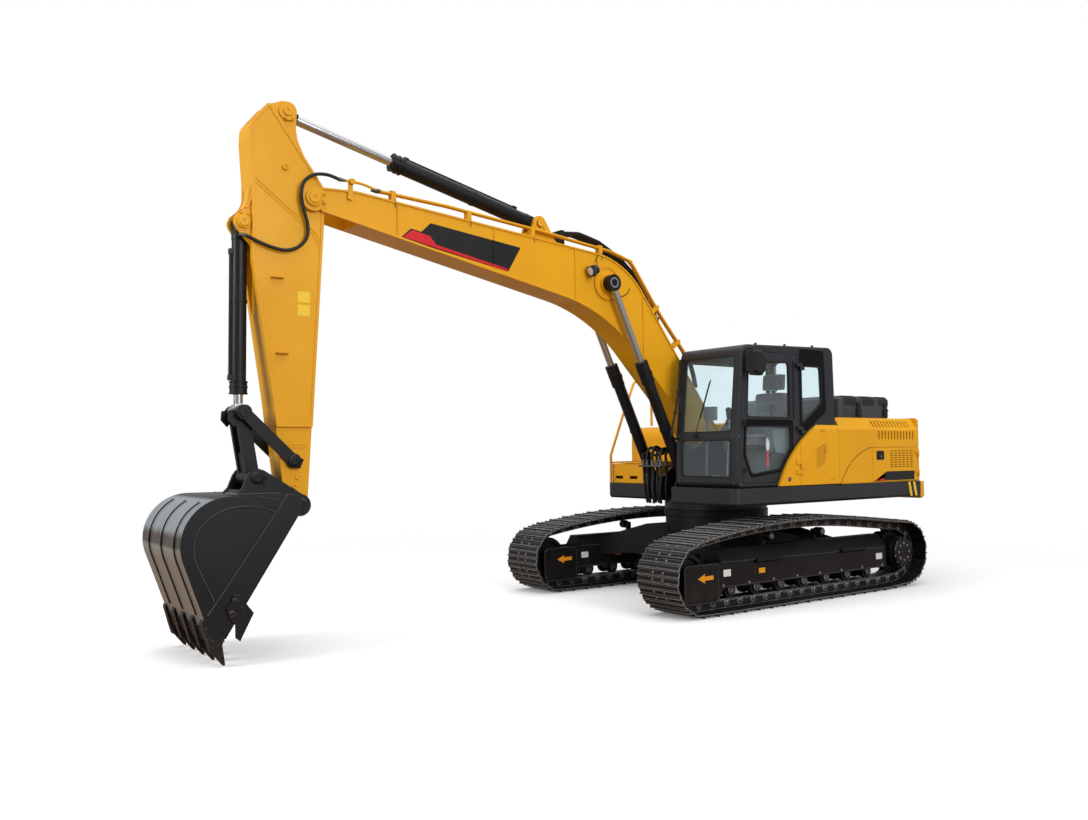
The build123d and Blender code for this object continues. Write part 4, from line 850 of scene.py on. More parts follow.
CAPS = (  # piece, body, finish, then caps and keepers
    ("boom_caps", "boom", "yellow_paint",
     (cap, "boom_tip", 0.2045, 0.054, 0.016, (0.1885, 0.081)), (keeper, "boom_tip", 0.1882, 0.100, 180),
     (cap, "crowd_foot", 0.1185, 0.040, 0.008), (keeper, "crowd_foot", 0.1045, 0.064, 250, 0.08)),
    ("arm_caps", "arm", "yellow_paint",
     (cap, "crowd_eye", 0.1205, 0.046, 0.014), (keeper, "crowd_eye", 0.1205, 0.072, 262, 0.09),
     (cap, "curl_foot", 0.1225, 0.044, 0.014, (0.1088, 0.0625)), (keeper, "curl_foot", 0.1085, 0.072, 96, 0.085)),
    ("bucket_caps", "bucket", "black_paint",
     (cap, "link_low", 0.2225, 0.036, 0.014, (0.2085, 0.056)), (cap, "arm_tip", 0.2245, 0.056),
     (keeper, "link_low", 0.2082, 0.068, 200, 0.075)),
    ("rocker_caps", "arm", "black_paint",
     (cap, "rocker", 0.1802, 0.036, 0.016, (0.1670, 0.0565)), (keeper, "rocker", 0.1665, 0.060, 205, 0.095)),
    ("link_caps", "rockers", "black_paint", (cap, "link_top", 0.1762, 0.048)),
)
for tag, side in SIDES:
    for name, body, finish, *shapes in CAPS:
        piece_of(f"{name}_{tag}", body, finish, *[(build, pin, side * y, *given) for build, pin, y, *given in shapes])
print("caps and keepers made:", len(CAPS), "pieces a side")

# %% [markdown]
# Each barrel wears clamp rings, a rubber wiper where its rod comes out, and a ring of
# gland bolts. The boom's barrels have a sleeve at the head as well. The rod eyes of the
# boom cylinders are dark with a bright ring, because they are machined and greased.

# %% Cylinder ends: clamp rings, wipers, gland bolts and sleeves
CYLINDERS = (  # body, foot, eye, y, length, radius, bore
    ("lift_barrel_left", "lift_foot", "lift_eye", 0.262, 1.560, 0.072, 0.0406),
    ("lift_barrel_right", "lift_foot", "lift_eye", -0.262, 1.560, 0.072, 0.0406),
    ("crowd_barrel", "crowd_foot", "crowd_eye", 0.0, 1.780, 0.088, 0.0456),
    ("curl_barrel", "curl_foot", "link_top", 0.0, 1.520, 0.076, 0.0406),
)


def sleeve(bm, at, axis, inner, outer, length, sides=36):
    """A short round tube with a square wall."""
    turned(bm, at, axis, [(0, inner), (0, outer), (length, outer), (length, inner)], sides, True)


def at_pin(pin, y=0.0):
    """A pin's place, out at y."""
    return Vector((PINS[pin][0], y, PINS[pin][1]))


for body, foot, eye, y, length, radius, bore in CYLINDERS:
    start = at_pin(foot, y)
    axis = (at_pin(eye, y) - start).normalized()
    head = start + axis * length
    bands = [(sleeve, head - axis * back, axis, radius, radius + 0.006, 0.010) for back in (0.108, 0.062, 0.004)]
    for far in (0.45, 0.95):
        bands.append((sleeve, start + axis * length * far, axis, radius - 0.010, radius - 0.005, 0.030))
    if foot == "lift_foot":
        bands.append((sleeve, head - axis * 0.258, axis, radius - 0.004, radius + 0.004, 0.255, 40))
    lip = [(0, bore + 0.002), (0, bore + 0.020), (0.007, bore + 0.018), (0.010, bore + 0.006), (0.008, bore + 0.002)]
    piece_of(f"{body}_bands", body, "black_paint", *bands)
    piece_of(f"{body}_wiper", body, "black_rubber", (turned, head + axis * 0.0005, axis, lip, 36, True))
    piece_of(f"{body}_gland_bolts", body, "pin_steel", (ring_of, head, axis, radius - 0.009, 8, 0.007, 0.006))
EYE_SLEEVE = [(0.0005, 0.062), (0.0035, 0.062), (0.0035, 0.0935), (-0.087, 0.0935), (-0.087, 0.0925), (0.0005, 0.0925)]
EYE_RING = [(0, 0.062), (0.004, 0.060), (0.004, 0.044), (0, 0.044)]
for tag, side in SIDES:
    body, eye = f"lift_rod_{tag}", (at_pin("lift_eye", side * 0.3065), (0, side, 0))
    piece_of(f"eye_sleeve_{tag}", body, "black_paint", (turned, *eye, EYE_SLEEVE, 40, True))
    piece_of(f"eye_ring_{tag}", body, "chrome_rod", (turned, *eye, EYE_RING, 32, True))
    piece_of(f"eye_plug_{tag}", body, "black_paint", (button, *eye, 0.042, 0.040, 0.003, 28, (0.014, 0.012, 0.001)))
axis = (at_pin("crowd_eye") - at_pin("crowd_foot")).normalized()
piece_of("crowd_rod_collar", "crowd_rod", "black_paint",
         (sleeve, at_pin("crowd_eye") - axis * 0.128, axis, 0.0455, 0.058, 0.045, 32))
print("cylinders dressed:", len(CYLINDERS))

# %% [markdown]
# The boom's sides carry a dark panel with a red wedge and a thin red line under it. The
# panel is left bare, and a strip of it covers the raised seam that it runs over. Two rings
# pressed round the cylinder's boss, the lamp's lens and wire, a grease line and the bolts
# of the pipe clamps complete the boom.

# %% Boom: side panels, rings, lamp lens, wires and pipe ends
BOOM_SIDE, SEAM_FACE, SEAM_X, PIPE_YS = 0.168, 0.180, 3.400, (0.124, 0.160)
PANEL = [(4.151, 3.994), (3.060, 3.876), (3.222, 3.604), (4.103, 3.744), (4.474, 3.817), (4.370, 3.912), (4.254, 3.894)]
WEDGE = [(4.455, 3.819), (4.358, 3.899), (4.159, 3.864), (4.090, 3.788), (4.103, 3.756)]
STRIPE = [(4.090, 3.786), (3.222, 3.631), (3.231, 3.608), (4.103, 3.756)]
for tag, side in SIDES:
    face, rings = side * BOOM_SIDE, []
    for radius, y in ((0.176, SEAM_FACE), (0.196, BOOM_SIDE)):
        profile = [(0, radius - 0.006), (0.004, radius - 0.003), (0.004, radius + 0.003), (0, radius + 0.006)]
        rings.append((turned, at_pin("lift_eye", side * y), (0, side, 0), profile, 56, True))
    over_seam = oblong(SEAM_X - 0.0062, SEAM_X + 0.0062, 3.6605, 3.912, 0.001)
    red_over_seam = oblong(SEAM_X - 0.0065, SEAM_X + 0.0065, 3.6375, 3.6625, 0.001)
    piece_of(f"boom_panel_dark_{tag}", "boom", "black_print_and_shade", (plate, face, rounded(PANEL, 0.012)),
             (plate, face, over_seam, SEAM_FACE + 0.0012 - BOOM_SIDE), slot="black_paint")
    piece_of(f"boom_panel_red_{tag}", "boom", "label_red", (plate, face, rounded(WEDGE, 0.010), 0.0020),
             (plate, face, STRIPE, 0.0020), (plate, face, red_over_seam, SEAM_FACE + 0.0016 - BOOM_SIDE),
             slot="yellow_paint")
    piece_of(f"boom_ring_{tag}", "boom", "yellow_paint", *rings)
LAMP_WAY = Vector((0.94, 0.0, -0.34)).normalized()
LAMP_FACE = Vector((2.148, 0.262, 3.715)) + LAMP_WAY * 0.0352
LAMP_WIRE = [
    (2.100, 0.250, 3.742), (2.070, 0.240, 3.800), (2.048, 0.200, 3.840), (2.010, 0.176, 3.900), (1.985, 0.172, 3.935),
]
GREASE_LINE = [
    (1.872, 0.318, 3.662), (1.862, 0.300, 3.705), (1.800, 0.230, 3.700), (1.775, 0.186, 3.610),
    (1.740, 0.178, 3.520), (1.660, 0.176, 3.480), (1.575, 0.176, 3.520), (1.535, 0.176, 3.580),
]
piece_of("lamp_lens", "boom", "lamp_glass",
         (turned, LAMP_FACE, LAMP_WAY, [(0, 0.050), (0.004, 0.050), (0.008, 0.036), (0.010, 0.0)], 32), slot="glass")
piece_of("boom_wires", "boom", "black_rubber",
         (turned, LAMP_FACE, LAMP_WAY, [(0, 0.050), (0, 0.056), (0.008, 0.055), (0.008, 0.050)], 32, True),
         (tube, LAMP_WIRE, 0.0045, 8), (tube, GREASE_LINE, 0.0045, 8))
clamps = []
for x in (1.960, 2.900, 3.700, 4.560):
    top = 3.905 + (x - 1.600) * 0.08507
    clamps += [(bolt, (x + 0.012, y - 0.018, top + 0.0985), UP, 0.008, 0.008) for y in PIPE_YS]
    clamps.append((tube, [(x - 0.02, 0.1765, top + 0.02), (x - 0.02, 0.1765, top - 0.06)], 0.004, 8, 1))
piece_of("pipe_clamp_bolts", "boom", "pin_steel", *clamps)
NUTS = ((4.700, 4.232, 4.740, 4.234, 0.019), (4.745, 4.2343, 4.775, 4.2358, 0.015))
piece_of("pipe_ends", "boom", "pin_steel", *[
    (tube, [(x0, y, z0), (x1, y, z1)], radius, 6, 1) for y in PIPE_YS for x0, z0, x1, z1, radius in NUTS])
print("boom dressed")

# %% Arm: pressed ribs, plug, brackets, blank plates, weld bands and front fairing
ARM_SUNK, EAR_FACE = 0.143, 0.1262
PLUG = [(0, 0.034), (0.016, 0.032), (0.018, 0.028), (0.018, 0.014), (0.008, 0.012), (0.008, 0)]
for tag, side in SIDES:
    y, ear, out = side * ARM_SUNK, side * EAR_FACE, (0, side, 0)
    bm = bmesh.new()
    tube(bm, [(5.905, y, 4.172), (5.445, y, 3.823), (5.342, y, 3.737), (5.300, y, 3.640)], 0.007, 10, 5)
    tube(bm, [(5.900, y, 4.130), (5.450, y, 3.790), (5.358, y, 3.705), (5.312, y, 3.600)], 0.005, 10, 5)
    turned(bm, (5.637, y, 4.317), out, PLUG, 28)
    for z, x0, x1 in ((3.300, 5.652, 5.768), (2.622, 5.608, 5.724)):
        plate(bm, y, oblong(x0, x1, z - 0.006, z + 0.006, 0.003), 0.045, 0.001)
        for x in (x0 + 0.030, x1 - 0.030):
            button(bm, (x, side * (ARM_SUNK + 0.028), z + 0.006), UP, 0.010, 0.009, 0.008, 8)
    for z in (1.800, 1.775):
        tube(bm, [(5.428, ear, z), (5.668, ear, z)], 0.005, 8, 1)
    for x, z in ((5.509, 1.506), (5.541, 1.426)):
        button(bm, (x, ear, z), out, 0.024, 0.022, 0.010, 20, (0.010, 0.009, 0.004))
    add_piece(f"arm_details_{tag}", "arm", "yellow_paint", bm)
    piece_of(f"arm_blank_plates_{tag}", "arm", "label_yellow", *[
        (plate, y, oblong(5.400, 5.520, z0, z1, 0.004)) for z0, z1 in ((3.092, 3.196), (2.968, 3.073))],
        slot="yellow_paint")
FITTING = [(-0.012, 0.019), (0.018, 0.019), (0.020, 0.015), (0.044, 0.015), (0.046, 0.011), (0.058, 0.011), (0.058, 0)]
piece_of("arm_hose_end", "arm", "pin_steel", (turned, (5.996, 0.142, 3.645), (0.85, -0.5, 0.15), FITTING, 12))
piece_of("boom_hose_end", "boom", "pin_steel", (turned, (5.140, 0.214, 4.262), (-1, 0, -0.02), FITTING, 12))
CURVE = [(5.9385, 4.100), (5.941, 4.040), (5.953, 3.980), (5.975, 3.930), (5.998, 3.900)]
CHEEK = CURVE[:-1] + [
    (6.004, 3.892), (6.040, 3.862), (6.070, 3.832), (6.050, 3.815), (5.960, 3.895), (5.872, 3.985), (5.872, 4.100),
]
piece_of("arm_front_fairing", "arm", "yellow_paint",
         (slab, "Y", CURVE + [(x - 0.018, z - 0.004) for x, z in CURVE[::-1]], -0.119, 0.119),
         (plate, 0.0705, CHEEK, 0.033), (plate, -0.0705, CHEEK, 0.033))
print("arm dressed")

# %% [markdown]
# The hose to the bucket cylinder leaves the boom's pipe, loops back over the arm's side
# in one free S and ends at the barrel's head. A real hose cannot bend sharply, so a
# smooth line through a few places stands for it, in place of the plain jointed solid.
# It meets a steel pipe that is clamped to the boom's tip.

# %% The arm's hose, the pipe at the boom's tip, and the pipes over the boom's bend
ARM_HOSE = [
    (5.140, 0.214, 4.262), (5.270, 0.216, 4.286), (5.400, 0.215, 4.262), (5.488, 0.211, 4.180), (5.506, 0.200, 4.060),
    (5.478, 0.192, 3.930), (5.442, 0.190, 3.800), (5.452, 0.190, 3.680), (5.535, 0.189, 3.585), (5.655, 0.188, 3.545),
    (5.790, 0.184, 3.562), (5.920, 0.172, 3.606), (5.996, 0.142, 3.645),
]
hose = piece_of("arm_hose_smooth", None, "black_rubber", (tube, ARM_HOSE, 0.016, 16, 10), turn=60.0)
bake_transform(hose)
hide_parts("arm_hose")
TIP_PIPE = [
    (4.735, 0.160, 4.234), (4.800, 0.162, 4.252), (4.900, 0.174, 4.268), (5.010, 0.196, 4.266), (5.112, 0.212, 4.262),
]
TIP_BRACKET = [(4.992, 4.095), (5.048, 4.099), (5.036, 4.285), (4.996, 4.285)]
piece_of("boom_tip_pipe", "boom", "yellow_paint", (tube, TIP_PIPE, 0.0130, 12, 6),
         (slab, "Y", rounded(TIP_BRACKET, 0.008), 0.1802, 0.1900, 0.002),
         (slab, "Y", oblong(4.985, 5.035, 4.242, 4.290, 0.010, 4), 0.168, 0.222, 0.003))
BEND = [(1.530, 3.915), (1.455, 3.855), (1.330, 3.690), (1.165, 3.476), (0.991, 3.262), (0.642, 2.880)]
rise = Vector((1.54, 2.025)).normalized()
out = Vector((-rise.y, rise.x))
bend = [(tube, [(x, y, z) for x, z in BEND], 0.0125, 12, 8) for y in PIPE_YS]
for x, z in ((1.100, 3.398), (0.760, 3.010)):
    middle = Vector((x, z))
    corners = [middle + rise * a + out * b for a, b in oblong(-0.022, 0.022, -0.115, 0.022, 0.006, 4)]
    at = middle + out * 0.022
    bend += [(slab, "Y", corners, 0.106, 0.178, 0.002),
             (bolt, (at.x, 0.142, at.y), (out.x, 0, out.y), 0.012, 0.030)]
piece_of("bend_pipes", "boom", "yellow_paint", *bend)
bm = bmesh.new()
for y in PIPE_YS:
    run = [(0.622, y, 2.859), (0.560, y, 2.785), (0.470, y - 0.030, 2.640), (0.400, y - 0.060, 2.480)]
    tube(bm, [(0.650, y, 2.889), run[0]], 0.018, 6, 1)
    tube(bm, run, 0.0155, 12, 8)
add_piece("bend_hoses", "boom", "black_rubber", bm)
print("smooth hose and pipes over the bend")

# %% Bucket: weld beads, cutter bolts and tooth pins
PANEL_EDGE = [  # the curved edge of the side's sunk panel, in (x, z)
    (5.886, 1.231), (6.010, 1.275), (6.139, 1.291), (6.278, 1.278), (6.402, 1.230), (6.487, 1.161), (6.534, 1.090),
    (6.556, 0.982), (6.539, 0.859), (6.470, 0.705), (6.392, 0.529),
]
fasteners, welds = [], []
for _, side in SIDES:
    face, y, out = side * 0.609, side * 0.5855, (0, side, 0)
    for x, z in ((6.230, 0.530), (6.180, 0.455), (6.255, 0.430)):
        fasteners += [(button, (x, face, z), out, 0.026, 0.026, 0.004, 14),
                      (bolt, (x, face + side * 0.003, z), out, 0.017, 0.015)]
    welds += [(tube, [(5.779, y, 1.378), (6.447, y, 0.425)], 0.006, 8, 1),
              (tube, [(x, y, z) for x, z in PANEL_EDGE], 0.005, 8, 5),
              (tube, [(6.030, y, 1.372), (5.822, y, 1.318)], 0.004, 8, 1)]
    welds += [(tube, [(5.700, side * ear, 1.372), (6.085, side * ear, 1.3745)], 0.008, 8, 1) for ear in (0.171, 0.208)]
TEETH, TOOTH_STEP = 5, 0.270
for i in range(TEETH):
    for side in (1, -1):
        at = (6.404, (i - TEETH // 2) * TOOTH_STEP + side * 0.0402, 0.172)
        fasteners.append((button, at, (0, side, 0), 0.014, 0.012, 0.005, 12))
piece_of("bucket_fasteners", "bucket", "tooth_steel", *fasteners)
# The weld beads are real, and their lighter grey is a painted highlight along them.
piece_of("bucket_welds", "bucket", "edge_highlight_grey", *welds, slot="bucket_steel")
print("bucket dressed")

# %% [markdown]
# The upper body is sheet metal: doors with latches and locks, a skirt with two slanted
# stripes for people who walk behind the tail, a bare dark panel low on the rear door,
# and rubber straps that hold the hood down. Each rides on the part that it is fixed to.

# %% Body sides: latches, locks, handles, stripes and panels
SIDE_FACE, SKIRT_FACE = 1.340, 1.360


def round_lock(bm, x, z, y, radius):
    """A round lock with a key slot's boss, on a left side face."""
    button(bm, (x, y, z), LEFT, radius, radius * 0.95, 0.005, 24, (radius * 0.62, radius * 0.58, 0.003))
    button(bm, (x, y + 0.003, z), LEFT, radius * 0.40, radius * 0.36, 0.005, 16)


piece_of("rear_door_latch", "radiator_door", "black_rubber",
         (plate, SIDE_FACE, oblong(-1.590, -1.440, 1.570, 1.680, 0.012), 0.006, 0.0015),
         (plate, SIDE_FACE + 0.006, oblong(-1.574, -1.456, 1.586, 1.664, 0.008), 0.004, 0.0015))
piece_of("rear_door_lock", "radiator_door", "chrome_rod", (round_lock, -1.515, 1.612, SIDE_FACE + 0.010, 0.013))
REAR_DARK = [(-1.640, 1.424), (-2.238, 1.424), (-2.232, 1.312), (-1.560, 1.312)]
REAR_RED = [(-1.628, 1.420), (-1.600, 1.345), (-1.500, 1.340), (-1.385, 1.310), (-1.548, 1.310)]
REAR_TAIL = [(-1.385, 1.310), (-1.700, 1.310), (-1.680, 1.318), (-1.400, 1.318)]
piece_of("rear_panel_dark", "radiator_door", "black_print_and_shade", (plate, SIDE_FACE, rounded(REAR_DARK, 0.006)),
         slot="black_paint")
piece_of("rear_panel_red", "radiator_door", "label_red", (plate, SIDE_FACE, rounded(REAR_RED, 0.006), 0.0018),
         (plate, SIDE_FACE, REAR_TAIL, 0.0020), slot="yellow_paint")
piece_of("fender_door_handles", "fender_door", "yellow_paint",
         (plate, SIDE_FACE, oblong(-0.462, -0.374, 1.916, 1.948, 0.016), 0.010, 0.003),
         (plate, SIDE_FACE, oblong(-0.605, -0.545, 1.362, 1.380, 0.008), 0.009, 0.003))
LOUVRES = [(-0.282, 1.484 + 0.0275 * i, -0.448 - 0.002 * i, 1.572 + 0.0256 * i) for i in range(9)]
# Thin black strips between the louvres are painted shade in the slots.
piece_of("fender_louvre_slots", "fender_door", "black_print_and_shade", *[
    (plate, SIDE_FACE, [(x0, z0), (x1, z1), (x1, z1 + 0.0048), (x0, z0 + 0.0048)], 0.0015)
    for x0, z0, x1, z1 in LOUVRES], slot="black_paint")
piece_of("fender_louvres", "fender_door", "yellow_paint", *[
    (tube, [(x0, SIDE_FACE, z0 + 0.0105), (x1, SIDE_FACE, z1 + 0.0105)], 0.0050, 8, 1) for x0, z0, x1, z1 in LOUVRES],
    (plate, SIDE_FACE, oblong(-0.050, 0.000, 1.425, 1.590, 0.006), 0.006, 0.0015))
piece_of("fender_door_lock", "fender_door", "black_rubber", (round_lock, -0.438, 1.690, SIDE_FACE, 0.012))
piece_of("fender_round_lock", "upper", "pin_steel", (round_lock, 0.205, 1.372, SIDE_FACE, 0.026))
piece_of("skirt_stripes", "upper", "label_yellow", *[
    (plate, side * SKIRT_FACE, [(x - 0.045, 1.105), (x + 0.002, 1.105), (x + 0.047, 1.285), (x, 1.285)])
    for x in (-2.110, -2.215) for side in (1, -1)], slot="yellow_paint")
CREASE = [
    (-1.355, 1.724), (-1.290, 1.716), (-1.150, 1.672), (-0.990, 1.590), (-0.860, 1.480), (-0.775, 1.370),
    (-0.735, 1.300),
]
# Thin black lines along the body's crease and the skirt's lower line are painted shade.
piece_of("body_creases", "upper", "black_rubber", (tube, [(x, SIDE_FACE, z) for x, z in CREASE], 0.0035, 8), *[
    (tube, [(x0, y, 1.1015), (-2.3, y, 1.1015)], 0.004, 8, 1) for x0, y in ((1.05, SKIRT_FACE), (0.55, -SKIRT_FACE))])

# %% Hood straps and louvres, filler cap and grip studs
hood_y, hood_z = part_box("hood")[1][1:]
straps = []
for x in (-1.635, -2.206):
    straps += [(slab, "Y", oblong(x - 0.060, x + 0.060, 2.108, 2.215, 0.020), hood_y, hood_y + 0.008, 0.002),
               (slab, "Y", oblong(x - 0.034, x + 0.034, 2.125, 2.300, 0.014), hood_y + 0.006, hood_y + 0.022, 0.004),
               (button, (x - 0.045, hood_y + 0.016, 2.205), FORWARD, 0.013, 0.013, 0.090, 12)]
piece_of("hood_straps", "hood", "black_rubber", *straps)


def over_hood(bm, x, wide, proud):
    """A strip that runs up the hood's side and over its rounded edge, open where it meets the hood."""
    outline = [(hood_y, 2.262), (hood_y, hood_z - 0.042), (hood_y - 0.042, hood_z), (hood_y - 0.120, hood_z)]
    rings = [[bm.verts.new(place(near, y + lift * 0.7, z + lift * 0.7)) for y, z in outline]
             for near, lift in ((x - wide, 0.0), (x - wide, proud), (x + wide, proud), (x + wide, 0.0))]
    for one, two in zip(rings, rings[1:]):
        for k in range(len(outline) - 1):
            bm.faces.new([one[k], one[k + 1], two[k + 1], two[k]])
    for k in (0, -1):
        bm.faces.new([ring[k] for ring in rings])


SLOT_XS = [start - 0.032 * i for start, count in ((-1.370, 8), (-1.750, 8), (-2.080, 7)) for i in range(count)]
# Flat black strips between the ribs are painted shade in the hood's slots.
piece_of("hood_slots", "hood", "black_print_and_shade", *[(over_hood, x, 0.0105, 0.0010) for x in SLOT_XS], slot="black_paint")
piece_of("hood_ribs", "hood", "hood_plastic", *[(over_hood, x + 0.0155, 0.0045, 0.0060) for x in SLOT_XS],
         slot="charcoal_paint")
CAP_PROFILE = [(0, 0.052), (0.030, 0.050), (0.036, 0.044), (0.036, 0)]
piece_of("filler_cap", "upper", "black_rubber", (turned, (-0.330, -1.120, 2.1002), UP, CAP_PROFILE, 12),
         (ring_of, (-0.330, -1.120, 2.0405), UP, 0.075, 6, 0.007, 0.006))
piece_of("grip_studs", "upper", "pin_steel", *[
    (button, (-1.180 + column * 0.065 + row % 2 * 0.0325, -1.280 + row * 0.062, 2.0402), UP, 0.014, 0.012, 0.004, 8,
     (0.006, 0.005, 0.001)) for row in range(7) for column in range(9)])
piece_of("lid_studs", "toolbox_lid", "pin_steel", *[
    (button, (0.300 + row * 0.052, -1.280 + column * 0.072 + row % 2 * 0.036, 1.5702), UP, 0.014, 0.012, 0.004, 8)
    for row in range(5) for column in range(12)])
TANK_TOPS = ((-1.20, 2.0403), (-0.60, 2.0403), (-0.50, 2.0392), (0.10, 2.0203))  # x, height of the top there
piece_of("tank_bolts", "upper", "yellow_paint",
         *[(bolt, (x, y, z), UP, 0.009, 0.007) for x, z in TANK_TOPS for y in (-1.30, -0.41)],
         *[(bolt, (0.5602, y, z), FORWARD, 0.009, 0.007) for y in (-1.27, -0.50) for z in (1.335, 1.505)])

# %% [markdown]
# In front of the boom's foot a row of hoses rises from under the frame, passes through
# bright steel fittings, loops over and runs back into the boom. The loops cross the
# boom's hinge, so they ride on no body and stay where they are made.

# %% Hoses at the boom's foot
HOSES = (  # y, x of the upright run, height of the loop
    (-0.150, 1.060, 1.690), (-0.100, 0.960, 1.735), (-0.050, 1.090, 1.745), (0.000, 0.985, 1.725),
    (0.050, 1.105, 1.755), (0.100, 0.930, 1.745), (0.150, 1.070, 1.735),
)
HOSE_FITTING = [(0, 0.024), (0.024, 0.024), (0.028, 0.019), (0.050, 0.019), (0.052, 0.023), (0.066, 0.023), (0.066, 0)]
HOSE = 0.0165
rubber, loops, steel = bmesh.new(), bmesh.new(), bmesh.new()
for y, x, high in HOSES:
    tube(rubber, [(x - 0.030, y * 0.8, 1.090), (x, y * 0.9, 1.250), (x - 0.008, y, 1.420), (x, y, 1.545)], HOSE, 12, 6)
    turned(steel, (x, y, 1.538), UP, HOSE_FITTING, 12)
    tube(loops, [
        (x, y, 1.600), (x + 0.004, y, 1.660), (x - 0.030, y, high - 0.012), (x - 0.085, y, high),
        (x - 0.150, y, high - 0.030), (x - 0.260, y, high - 0.030), (x - 0.420, y, high + 0.020),
        (x - 0.600, y, high + 0.090),
    ], HOSE, 12, 7)
slab(steel, "Z", oblong(0.900, 1.130, -0.180, 0.180, 0.02), 1.5185, 1.5385, 0.003)
add_piece("foot_hoses", "upper", "black_rubber", rubber)
add_piece("foot_fittings", "upper", "pin_steel", steel)
over = add_piece("foot_hose_loops", None, "black_rubber", loops, turn=60.0)
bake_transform(over)
print("upper body dressed")

# %% [markdown]
# The cab's panes sit in rubber. A black gasket runs round each window, the door adds a
# handle and its own seals, and small dome bolts hold the trim. The outlines repeat the
# windows of the frame: a little larger than the pane, rounded in the same corners.

# %% Cab: window seals, door handle and bolts
CAB_SIDE, DOOR_FACE = 1.2962, 1.2942
WINDOWS = {  # (x, z) outlines on the cab's sides
    "upper": [(0.118, 2.062), (0.850, 2.062), (0.812, 2.705), (0.118, 2.705)],
    "lower": [(0.092, 1.978), (0.092, 1.735), (0.292, 1.480), (0.790, 1.430), (0.888, 1.650), (0.865, 1.978)],
    "quarter": [(-0.084, 1.985), (-0.084, 2.680), (-0.450, 2.680), (-0.470, 2.250)],
    "right": [(-0.600, 2.060), (0.860, 1.700), (0.900, 1.900), (0.820, 2.740), (-0.600, 2.740)],
}
piece_of("door_seals", "cab_door", "black_rubber", *[
    (gasket, "Y", rounded(WINDOWS[name], 0.055, 6), 1.2765, 1.2975, 0.016) for name in ("upper", "lower")])
piece_of("side_seals", "upper", "black_rubber",
         (gasket, "Y", rounded(WINDOWS["quarter"], 0.045, 6), 1.2790, 1.2975, 0.016),
         (gasket, "Y", rounded(WINDOWS["right"], 0.050, 6), 0.3405, 0.3600, 0.016))
DOOR_OUTER = [(0.070, 2.046), (0.070, 1.722), (0.285, 1.458), (0.800, 1.404), (0.912, 1.640), (0.892, 2.046)]
QUARTER_OUTER = [(-0.054, 1.850), (-0.054, 2.868), (-0.505, 2.868), (-0.532, 2.150)]
for body, face, outer, wide_turn, window, small_turn in (
    ("cab_door", DOOR_FACE, DOOR_OUTER, 0.045, "lower", 0.055),
    ("upper", CAB_SIDE, QUARTER_OUTER, 0.050, "quarter", 0.045),
):
    outlines = rounded(outer, wide_turn, 6), rounded(WINDOWS[window], small_turn, 6)
    piece_of(f"{body}_dark_border", body, "dark_glass", (border, *outlines, face - 0.002, face + 0.0012, SPREAD["Y"]),
             slot="black_rubber")


def front_x(z):
    """How far forward the cab's front face is at a height: upright below, leaning back above."""
    if z < 1.84:
        return 1.011 - 0.006 * (z - 1.296) / 0.544
    return 1.005 - 0.105 * (z - 1.84) / (2.872 - 1.84)


def front_ring(bm, z0, z1, proud, width=0.016):
    """A gasket on the leaning front, its outline told in (y, z)."""
    inner = oblong(0.426 + width, 1.204 - width, z0 + width, z1 - width, 0.040, 6)
    border(bm, oblong(0.426, 1.204, z0, z1, 0.050, 6), inner, -0.020, proud,
           lambda y, z, depth: place(front_x(z) + depth, y, z))


piece_of("front_seals", "upper", "black_rubber", (front_ring, 1.405, 1.830, 0.002), (front_ring, 1.905, 2.765, 0.000))
DOME = [(0, 0.011), (0.004, 0.010), (0.007, 0.005), (0.007, 0)]
SIDE_BOLTS = (
    (0.960, 1.330), (0.420, 1.322), (0.300, 1.322), (-0.640, 1.330), (0.975, 1.86), (-0.66, 2.80), (0.86, 2.81),
)
piece_of("cab_bolts", "upper", "pin_steel",
         *[(turned, (front_x(z), y, z), FORWARD, DOME, 12) for z in (1.350, 1.868) for y in (0.400, 1.236)],
         *[(turned, (x, CAB_SIDE, z), LEFT, DOME, 12) for x, z in SIDE_BOLTS])
HANDLE = ((1.300, 2.028), (1.322, 2.020), (1.326, 1.990), (1.322, 1.972), (1.300, 1.966))
piece_of("door_handle", "cab_door", "black_rubber",
         (slab, "Y", oblong(0.868, 0.924, 1.960, 2.040, 0.010), DOOR_FACE, 1.2990, 0.001),
         (tube, [(0.905, y, z) for y, z in HANDLE], 0.007, 10),
         (button, (0.885, 1.299, 2.000), LEFT, 0.010, 0.009, 0.004, 14))

# %% Cab: door trim, mirror, wiper, roof studs and a grab rail
ROOF_HIGH, ROOF_REAR, RAIL_Y = 2.914, -0.685, 0.386
piece_of("door_edge_trim", "cab_door", "black_rubber",
         (tube, [(0.052, 1.2990, 2.05), (0.052, 1.2995, 2.40), (0.052, 1.2990, 2.72)], 0.006, 8, 3))
piece_of("mirror_glass", "upper", "chrome_rod",
         (slab, "X", oblong(1.374, 1.484, 2.545, 2.762, 0.030, 4), 0.7545, 0.7585, 0.0005))
mirror = piece_of(
    "mirror_shell", "upper", "black_rubber",
    (slab, "X", oblong(1.358, 1.498, 2.520, 2.787, 0.045, 6), 0.757, 0.912, 0.034),
    (tube, [(0.872, 1.298, 2.790), (0.868, 1.340, 2.818), (0.850, 1.390, 2.815), (0.835, 1.410, 2.770)], 0.011, 10),
    (tube, [(0.872, 1.298, 2.600), (0.868, 1.330, 2.612), (0.850, 1.372, 2.640)], 0.009, 10),
    (button, (0.872, 1.292, 2.790), LEFT, 0.020, 0.018, 0.012, 14),
    (button, (0.872, 1.292, 2.600), LEFT, 0.018, 0.016, 0.012, 14))
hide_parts("cab_trim")
piece_of("wiper", "upper", "black_rubber",
         (slab, "X", oblong(0.640, 0.700, 1.846, 1.890, 0.008, 4), 1.004, 1.028, 0.004),
         (tube, [(1.022, 0.670, 1.870), (1.012, 0.700, 1.960), (0.962, 0.858, 2.475)], 0.0055, 8, 3),
         (tube, [(1.000, 0.742, 2.070), (0.956, 0.872, 2.500)], 0.0070, 6, 1))
